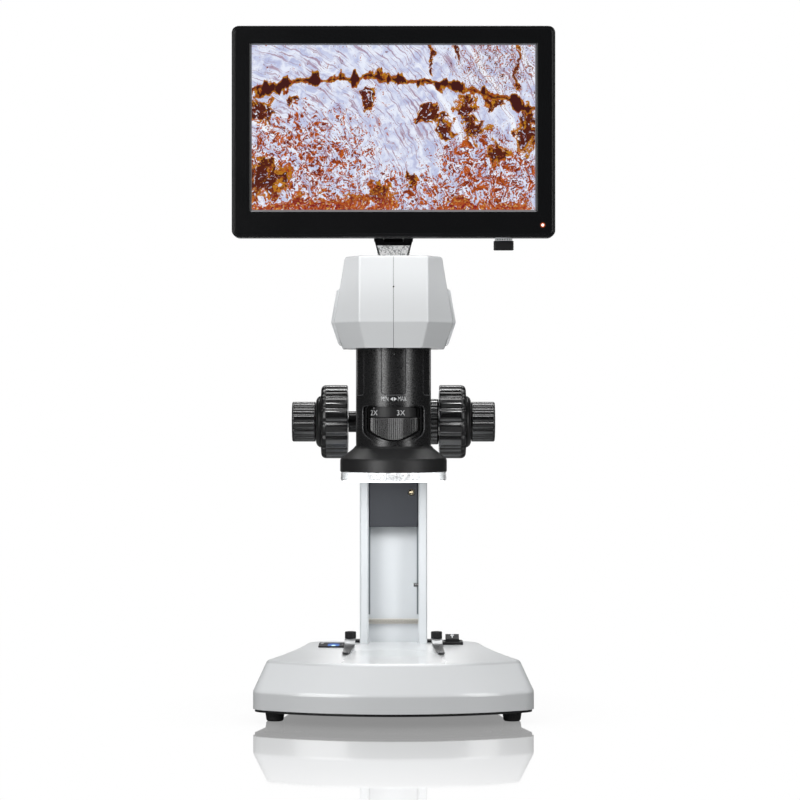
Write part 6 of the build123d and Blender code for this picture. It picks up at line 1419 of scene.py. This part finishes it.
class MICROSCOPE_OT_display(bpy.types.Operator):
    """The display: moulded frame, picture, power lamp with its halo, light sensor and rear shell"""
    bl_idname = "microscope.display"
    bl_label = "Display"

    def execute(self, context):
        colours, sizes = context.scene.microscope_colours, context.scene.microscope_display
        ring, black = self.frame_ring(sizes), plain(colours, "bezel_black")
        add_piece("display_frame", [ring], "monitor", black, ["monitor_bezel"])
        pane = rounded_block((2 * PANE_X / MM, 2 * PANE_Z / MM, 2 * PANE_Y / MM), 0.3, 0.1)
        pane = sheet_of(on_axis(pane, SCREEN_MIDDLE))
        picture = display_picture(colours, sizes.picture_strength)
        add_piece("picture_pane", [pane], "monitor", picture, ["screen_glass"])
        buttons = [f"button_{name}" for name in ("power", "menu", "down", "up")]
        dress(plain(colours, "satin_black"), "monitor_back", *buttons)
        dress(steel(colours, "panel_metal"), "lcd_panel")
        dress(glowing("lamp_white", (1.0, 0.93, 0.88, 1.0), 1.3), "power_lamp")
        self.trim(sizes)
        self.lamp_and_sensor(sizes, colours)
        self.rear_screws(colours)
        return {"FINISHED"}

    def frame_ring(self, sizes):
        """The frame as rounded rectangles carried from the rear edge over the rounded front edge, the fine
        groove and the flat face, down the bevel to the picture, and back along the inside. Each row has its
        own half sizes, corner radius, middle height and depth."""
        half_x, half_z = (MONITOR_HIGH.x - MONITOR_LOW.x) / 2, (MONITOR_HIGH.z - MONITOR_LOW.z) / 2
        mid_z = (MONITOR_HIGH.z + MONITOR_LOW.z) / 2
        front, rear, back = MONITOR_LOW.y, MONITOR_HIGH.y, SCREEN_HIGH.y
        turn = np.linspace(0, math.pi / 2, 7)
        wave = np.linspace(0, 1, 9)
        dip = front + (1 - np.cos(2 * math.pi * wave)) / 2 * sizes.groove_depth
        groove = sizes.groove_inset + wave * sizes.groove_width
        inset = np.concatenate([[0.0], sizes.edge * (1 - np.cos(turn)), groove])
        depth = np.concatenate([[rear], front + sizes.edge * (1 - np.sin(turn)), dip])
        height = np.full_like(inset, mid_z)
        outer = np.column_stack([half_x - inset, half_z - inset, sizes.corner - 0.7 * inset, height, depth])
        soft = 0.15 * MM
        slope = (
            (sizes.bevel + soft, 0.9 * MM, front),
            (sizes.bevel - soft, 0.8 * MM, front + 0.4 * soft),
            (sizes.bevel - sizes.lip, 0.6 * MM, front + sizes.lip * math.tan(sizes.lip_slope)),
            (0.0, 0.3 * MM, SCREEN_LOW.y),
            (0.0, 0.3 * MM, back),
        )
        window = [(PANE_X + grow, PANE_Z + grow, radius, SCREEN_MIDDLE.z, y) for grow, radius, y in slope]
        inner = (half_x - sizes.wall, half_z - sizes.wall, sizes.corner - sizes.wall, mid_z)
        rows = np.concatenate([outer, window, [(*inner, back), (*inner, rear)]])
        ring = rounded_rectangle(rows[:, 0], rows[:, 1], rows[:, 2], 8)
        y = np.repeat(rows[:, 4:5], ring.shape[1], axis=1)
        return sheet_of(np.stack([ring[..., 0], y, ring[..., 1] + rows[:, 3:4]], axis=-1), wrap_rows=True)

    def trim(self, sizes):
        """A thin grey trim on the slope round the picture, wider under it: a frame of two widths laid on
        the slope."""
        steep, lip_y = sizes.bevel - sizes.lip, MONITOR_LOW.y + sizes.lip * math.tan(sizes.lip_slope)
        floor, thin, back, small, lift_slope = SCREEN_LOW.y, 0.03 * MM, 0.1 * MM, 0.02 * MM, 0.36
        rows = []
        for grow, low, y in (
            (steep, sizes.trim_low, lip_y - thin), (steep, steep, lip_y - thin), (small, small, floor - thin),
            (small, small, floor + back), (steep, steep, lip_y + back), (steep, sizes.trim_low, lip_y + back),
        ):
            ring = rounded_rectangle(PANE_X + grow, PANE_Z + grow, 0.4 * MM, 3)[0]
            below = ring[:, 1] < 0
            lift = np.where(below, grow - low, 0.0)
            depth = y + np.where(below, lift_slope * lift, 0.0)
            rows.append(np.stack([ring[:, 0], depth, SCREEN_MIDDLE.z + ring[:, 1] + lift], axis=-1))
        trim = sheet_of(np.stack(rows), wrap_rows=True)
        grey = moulded("trim_grey", (0.18, 0.183, 0.192, 1.0), 0.3, 900.0, 2e-6, shine=0.6)
        add_piece("picture_trim", [trim], "monitor", grey, ())

    def lamp_and_sensor(self, sizes, colours):
        """A thin glowing disc round the lamp, a dome on the lamp, and a dark pin hole under the picture."""
        low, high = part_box("power_lamp")
        front = MONITOR_LOW.y
        centre = Vector(((low.x + high.x) / 2, front, (low.z + high.z) / 2))
        halo, lamp, hole = sizes.halo / MM, (high.x - low.x) / 2 / MM, sizes.sensor_radius / MM
        disc = button([(0, 0.03), (halo, 0.03), (halo, -0.3), (0, -0.3)], [0, 0.02, 0, 0], 2, 40, centre)
        add_piece("lamp_halo", [disc], "monitor", lamp_halo(colours, centre, sizes.halo), ())
        dome = button([(0, 0.12), (0.7 * lamp, 0.1), (lamp, 0.02), (lamp, -0.2), (0, -0.2)],
                      [0, 0.3, 0.1, 0, 0], 3, 24, centre)
        lit = glowing("lamp_dome", (1.0, 0.96, 0.93, 1.0), 1.6)
        add_piece("lamp_dome", [dome], "monitor", lit, ())
        place = (sizes.sensor_x, front, SCREEN_LOW.z - sizes.sensor_drop)
        pin = button([(0, -0.15), (0.6 * hole, -0.15), (0.7 * hole, 0.04), (hole, 0.04), (hole, -0.3),
                      (0, -0.3)], [0, 0.05, 0.05, 0.05, 0, 0], 2, 20, place)
        add_piece("light_sensor", [pin], "monitor", plain(colours, "gloss_black"), ())

    def rear_screws(self, colours):
        """Four cross-slotted screws in shallow cups in the rear shell's corners."""
        radius, back, inset = 2.6 * MM, -0.4 * MM, 11.0 * MM
        profile = smooth_line(
            [(0, 0.5 * MM), (0.55 * radius, 0.45 * MM), (radius, 0.1 * MM), (radius, back), (0, back)],
            [0, 0.5 * MM, 0.2 * MM, 0, 0], 5,
        )
        angles = round_angles(48)
        cross = np.minimum(np.abs(np.sin(angles)), np.abs(np.cos(angles)))
        inside = (profile[:, :1] < 0.62 * radius) & (profile[:, 1:] > 0)
        slot = (profile[:, :1] * cross < 0.35 * MM) & inside
        points = turned(profile[:, 0], profile[:, 1], angles)
        points[..., 2] -= np.where(slot, 0.5 * MM, 0.0)
        parts = []
        for x in (13.0 * MM - MONITOR_HIGH.x, MONITOR_HIGH.x - 13.0 * MM):
            for z in (MONITOR_LOW.z + inset, MONITOR_HIGH.z - inset):
                parts.append(sheet_of(on_axis(points, (x, MONITOR_REAR, z), (0, 1, 0))))
        add_piece("rear_shell_screws", parts, "monitor", knob_black(colours), ())


class MICROSCOPE_OT_stick(bpy.types.Operator):
    """The memory stick: bright plug with a row of windows, and a black grip with ribbed sides"""
    bl_idname = "microscope.stick"
    bl_label = "Memory stick"

    def execute(self, context):
        colours = context.scene.microscope_colours
        low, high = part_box("usb_stick")
        x, y = (low.x + high.x) / 2, (low.y + high.y) / 2
        wide, deep = (high.x - low.x) / MM, (high.y - low.y) / MM
        grip, ribs = 6.4, 6
        body = rounded_block((wide, deep, grip), 1.2, 0.5) * np.array([0.96, 1, 1])
        parts = [sheet_of(body + np.array([x, y, low.z + grip * MM / 2]))]
        for rise in (np.arange(ribs) + 0.5) * grip * MM / ribs:
            parts.append(block_at((wide, 0.8 * deep, 0.5), 1.2, 0.2, (x, y, low.z + rise)))
        add_piece("stick_grip", parts, "memory_stick", plain(colours, "satin_black"), ["usb_stick"])
        plug_low = low.z + grip * MM
        plug_wide, plug_deep = 12.0, 4.5
        plug_size = (plug_wide, plug_deep, (high.z - plug_low) / MM)
        plug = block_at(plug_size, 0.5, 0.2, (x, y, (plug_low + high.z) / 2))
        # painted light: the steel made 1.6 times paler and not metallic, so that the plug stays bright in the
        # display's shade
        metal = brushed("plug_metal", toned(colours.steel, 1.6), 2, 0.35, 0.0)
        add_piece("stick_plug", [plug], "memory_stick", metal, ["usb_stick"])
        window_y, window_z = (plug_deep / 2 + 0.02) * MM, 1.05 * MM
        windows = [
            block_at((0.55, 0.06, 0.9), 0.02, 0.01, (x + offset * MM, y - window_y, plug_low + window_z))
            for offset in np.linspace(-4.2, 4.2, 6)
        ]
        add_piece("stick_windows", windows, "memory_stick", plain(colours, "satin_black"), ())
        return {"FINISHED"}


class MICROSCOPE_OT_studio(bpy.types.Operator):
    """The studio: a glossy pale floor, lamps, surround and camera"""
    bl_idname = "microscope.studio"
    bl_label = "Studio"

    def execute(self, context):
        settings = context.scene.microscope_studio
        self.floor(settings)
        self.surround(context.scene, settings)
        self.lamps(settings)
        camera = bpy.data.objects.new("camera", bpy.data.cameras.new("camera"))
        camera.location = (0, -settings.distance, settings.height)
        camera.rotation_euler = (math.pi / 2, 0, 0)
        camera.data.lens = settings.lens
        camera.data.sensor_width = 36
        camera.data.shift_x, camera.data.shift_y = settings.shift_x, settings.shift_y
        context.scene.collection.objects.link(camera)
        context.scene.camera = camera
        context.scene.view_settings.view_transform = "Standard"
        return {"FINISHED"}

    def floor(self, settings):
        """A white floor. To the camera it is white of its own, with a share of shaded white near the
        microscope and a mirror share that fades towards the camera; to everything else it is a dim even
        grey."""
        x, y = np.meshgrid(np.linspace(-6, 6, 5), np.linspace(-6, 6, 5), indexing="ij")
        points, faces = sheet_of(np.stack([x, y, np.zeros_like(x)], axis=-1), wrap_columns=False)
        mesh = bpy.data.meshes.new("floor")
        mesh.from_pydata(points.tolist(), [], faces)
        mesh.validate()
        finish = Finish("floor_white")
        finish.tree.nodes.remove(finish.shader)
        away = finish.vector("LENGTH", finish.place)
        grain = finish.between(finish.noise(90.0), 0.0, 1.0, 0.985, 1.0)
        white = finish.mix(grain, (0.7, 0.7, 0.7, 1.0), (0.8, 0.8, 0.8, 1.0))
        dull = finish.add("ShaderNodeBsdfDiffuse", {"Color": white})
        bounce = finish.add("ShaderNodeBsdfDiffuse", {"Color": (0.20, 0.20, 0.20, 1.0)})
        lit = finish.add("ShaderNodeEmission", {"Strength": 1.0})
        mirror = finish.add("ShaderNodeBsdfGlossy", {"Roughness": 0.035, "Color": WHITE})
        shaded = finish.blend(finish.times(finish.between(away, 0.19, 0.10), 0.22), lit, dull)
        gloss = finish.times(finish.between(finish.axis("Y"), -0.58, -0.17), finish.between(away, 1.6, 0.6))
        polished = finish.blend(finish.times(gloss, settings.floor_gloss), shaded, mirror)
        seen = finish.add("ShaderNodeLightPath").outputs["Is Camera Ray"]
        whole = finish.blend(seen, bounce, polished)
        finish.put(finish.tree.nodes["Material Output"].inputs["Surface"], whole.outputs[0])
        mesh.materials.append(finish.material)
        floor = bpy.data.objects.new("floor", mesh)
        bpy.context.scene.collection.objects.link(floor)

    def surround(self, scene, settings):
        """The world: white to the camera, dim to mirrors but for a white patch straight behind the
        microscope, which the floor shows, and an even pale light to everything else."""
        scene.world = bpy.data.worlds.new("surround")
        scene.world.use_nodes = True
        tree = scene.world.node_tree
        tree.nodes.clear()
        sky = Nodes(tree, "Generated")
        path = sky.add("ShaderNodeLightPath").outputs
        patch = sky.between(sky.axis("Y"), 0.90, 0.955, 0.015, 1.0)
        even = sky.add("ShaderNodeBackground", {"Color": (0.98, 0.99, 1.0, 1.0), "Strength": settings.sky})
        mirrored = sky.add("ShaderNodeBackground", {"Color": WHITE, "Strength": patch})
        seen = sky.add("ShaderNodeBackground", {"Color": WHITE, "Strength": 1.0})
        gloss = sky.most(path["Is Glossy Ray"], path["Is Transmission Ray"])
        whole = sky.blend(path["Is Camera Ray"], sky.blend(gloss, even, mirrored), seen)
        sky.add("ShaderNodeOutputWorld", {"Surface": whole.outputs[0]})

    def lamps(self, settings):
        """Two tall soft lamps left and right of the camera, a wide one overhead, a long narrow one high
        behind, one high in front that lights the grips alone, and the ring light's own."""
        target = Vector((0, 0, 0.25))
        ring_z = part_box("ring_light_cover")[0].z - 0.5 * MM
        # name, bearing from the front in degrees, distance, height, width and depth, power
        places = (
            ("left", -35.0, 1.5, 0.45, (0.70, 1.3), settings.left_power),
            ("right", 44.0, 1.5, 0.45, (0.42, 1.3), settings.right_power),
            ("top", 0.0, 0.10, 1.7, (1.4, 0.7), settings.top_power),
            ("rim", 180.0, 0.9, 1.35, (1.5, 0.16), settings.rim_power),
            ("strip", 0.0, 1.2, 1.9, (1.6, 0.45), settings.strip_power),
            ("ring", 0.0, -OPTICAL_Y, ring_z, (0.06, 0.06), settings.ring_power),
        )
        for name, bearing, away, rise, size, power in places:
            lamp = bpy.data.lights.new(name, "AREA")
            lamp.shape = "RECTANGLE"
            lamp.size, lamp.size_y = size
            lamp.energy = power
            holder = bpy.data.objects.new(name, lamp)
            turn = math.radians(bearing)
            holder.location = (away * math.sin(turn), -away * math.cos(turn), rise)
            aim = Vector((0, 0, -1)) if name == "ring" else target - holder.location
            holder.rotation_euler = aim.to_track_quat("-Z", "Y").to_euler()
            holder.visible_camera = False
            bpy.context.scene.collection.objects.link(holder)
        grips = bpy.data.collections.new("strip_receivers")
        for piece in bpy.data.objects:
            if piece.name.startswith(("coarse_grip", "fine_grip", "tension_grip")):
                grips.objects.link(piece)
        bpy.data.objects["strip"].light_linking.receiver_collection = grips


OPERATORS = (
    MICROSCOPE_OT_base,
    MICROSCOPE_OT_clips,
    MICROSCOPE_OT_controls,
    MICROSCOPE_OT_pillar,
    MICROSCOPE_OT_knobs,
    MICROSCOPE_OT_optics,
    MICROSCOPE_OT_head,
    MICROSCOPE_OT_neck,
    MICROSCOPE_OT_display,
    MICROSCOPE_OT_stick,
    MICROSCOPE_OT_studio,
)


class MICROSCOPE_PT_panel(bpy.types.Panel):
    """The microscope's pieces and their sizes"""
    bl_idname = "MICROSCOPE_PT_panel"
    bl_label = "Microscope"
    bl_space_type = "VIEW_3D"
    bl_region_type = "UI"
    bl_category = "Microscope"

    def draw(self, context):
        for operator in OPERATORS:
            self.layout.operator(operator.bl_idname)
        for group in GROUPS:
            settings = getattr(context.scene, group)
            box = self.layout.box()
            for key in settings.__annotations__:
                box.prop(settings, key)


def register():
    for group in GROUPS.values():
        bpy.utils.register_class(group)
    for holder, group in GROUPS.items():
        setattr(bpy.types.Scene, holder, bpy.props.PointerProperty(type=group))
    for kind in (*OPERATORS, MICROSCOPE_PT_panel):
        bpy.utils.register_class(kind)


def unregister():
    for kind in (*OPERATORS, MICROSCOPE_PT_panel):
        bpy.utils.unregister_class(kind)
    for holder, group in GROUPS.items():
        delattr(bpy.types.Scene, holder)
        bpy.utils.unregister_class(group)


def main():
    """Builds every piece."""
    register()
    bpy.ops.microscope.base()
    bpy.ops.microscope.clips()
    bpy.ops.microscope.controls()
    bpy.ops.microscope.pillar()
    bpy.ops.microscope.knobs()
    bpy.ops.microscope.optics()
    bpy.ops.microscope.head()
    bpy.ops.microscope.neck()
    bpy.ops.microscope.display()
    bpy.ops.microscope.stick()
    bpy.ops.microscope.studio()


if __name__ == "__main__":
    main()
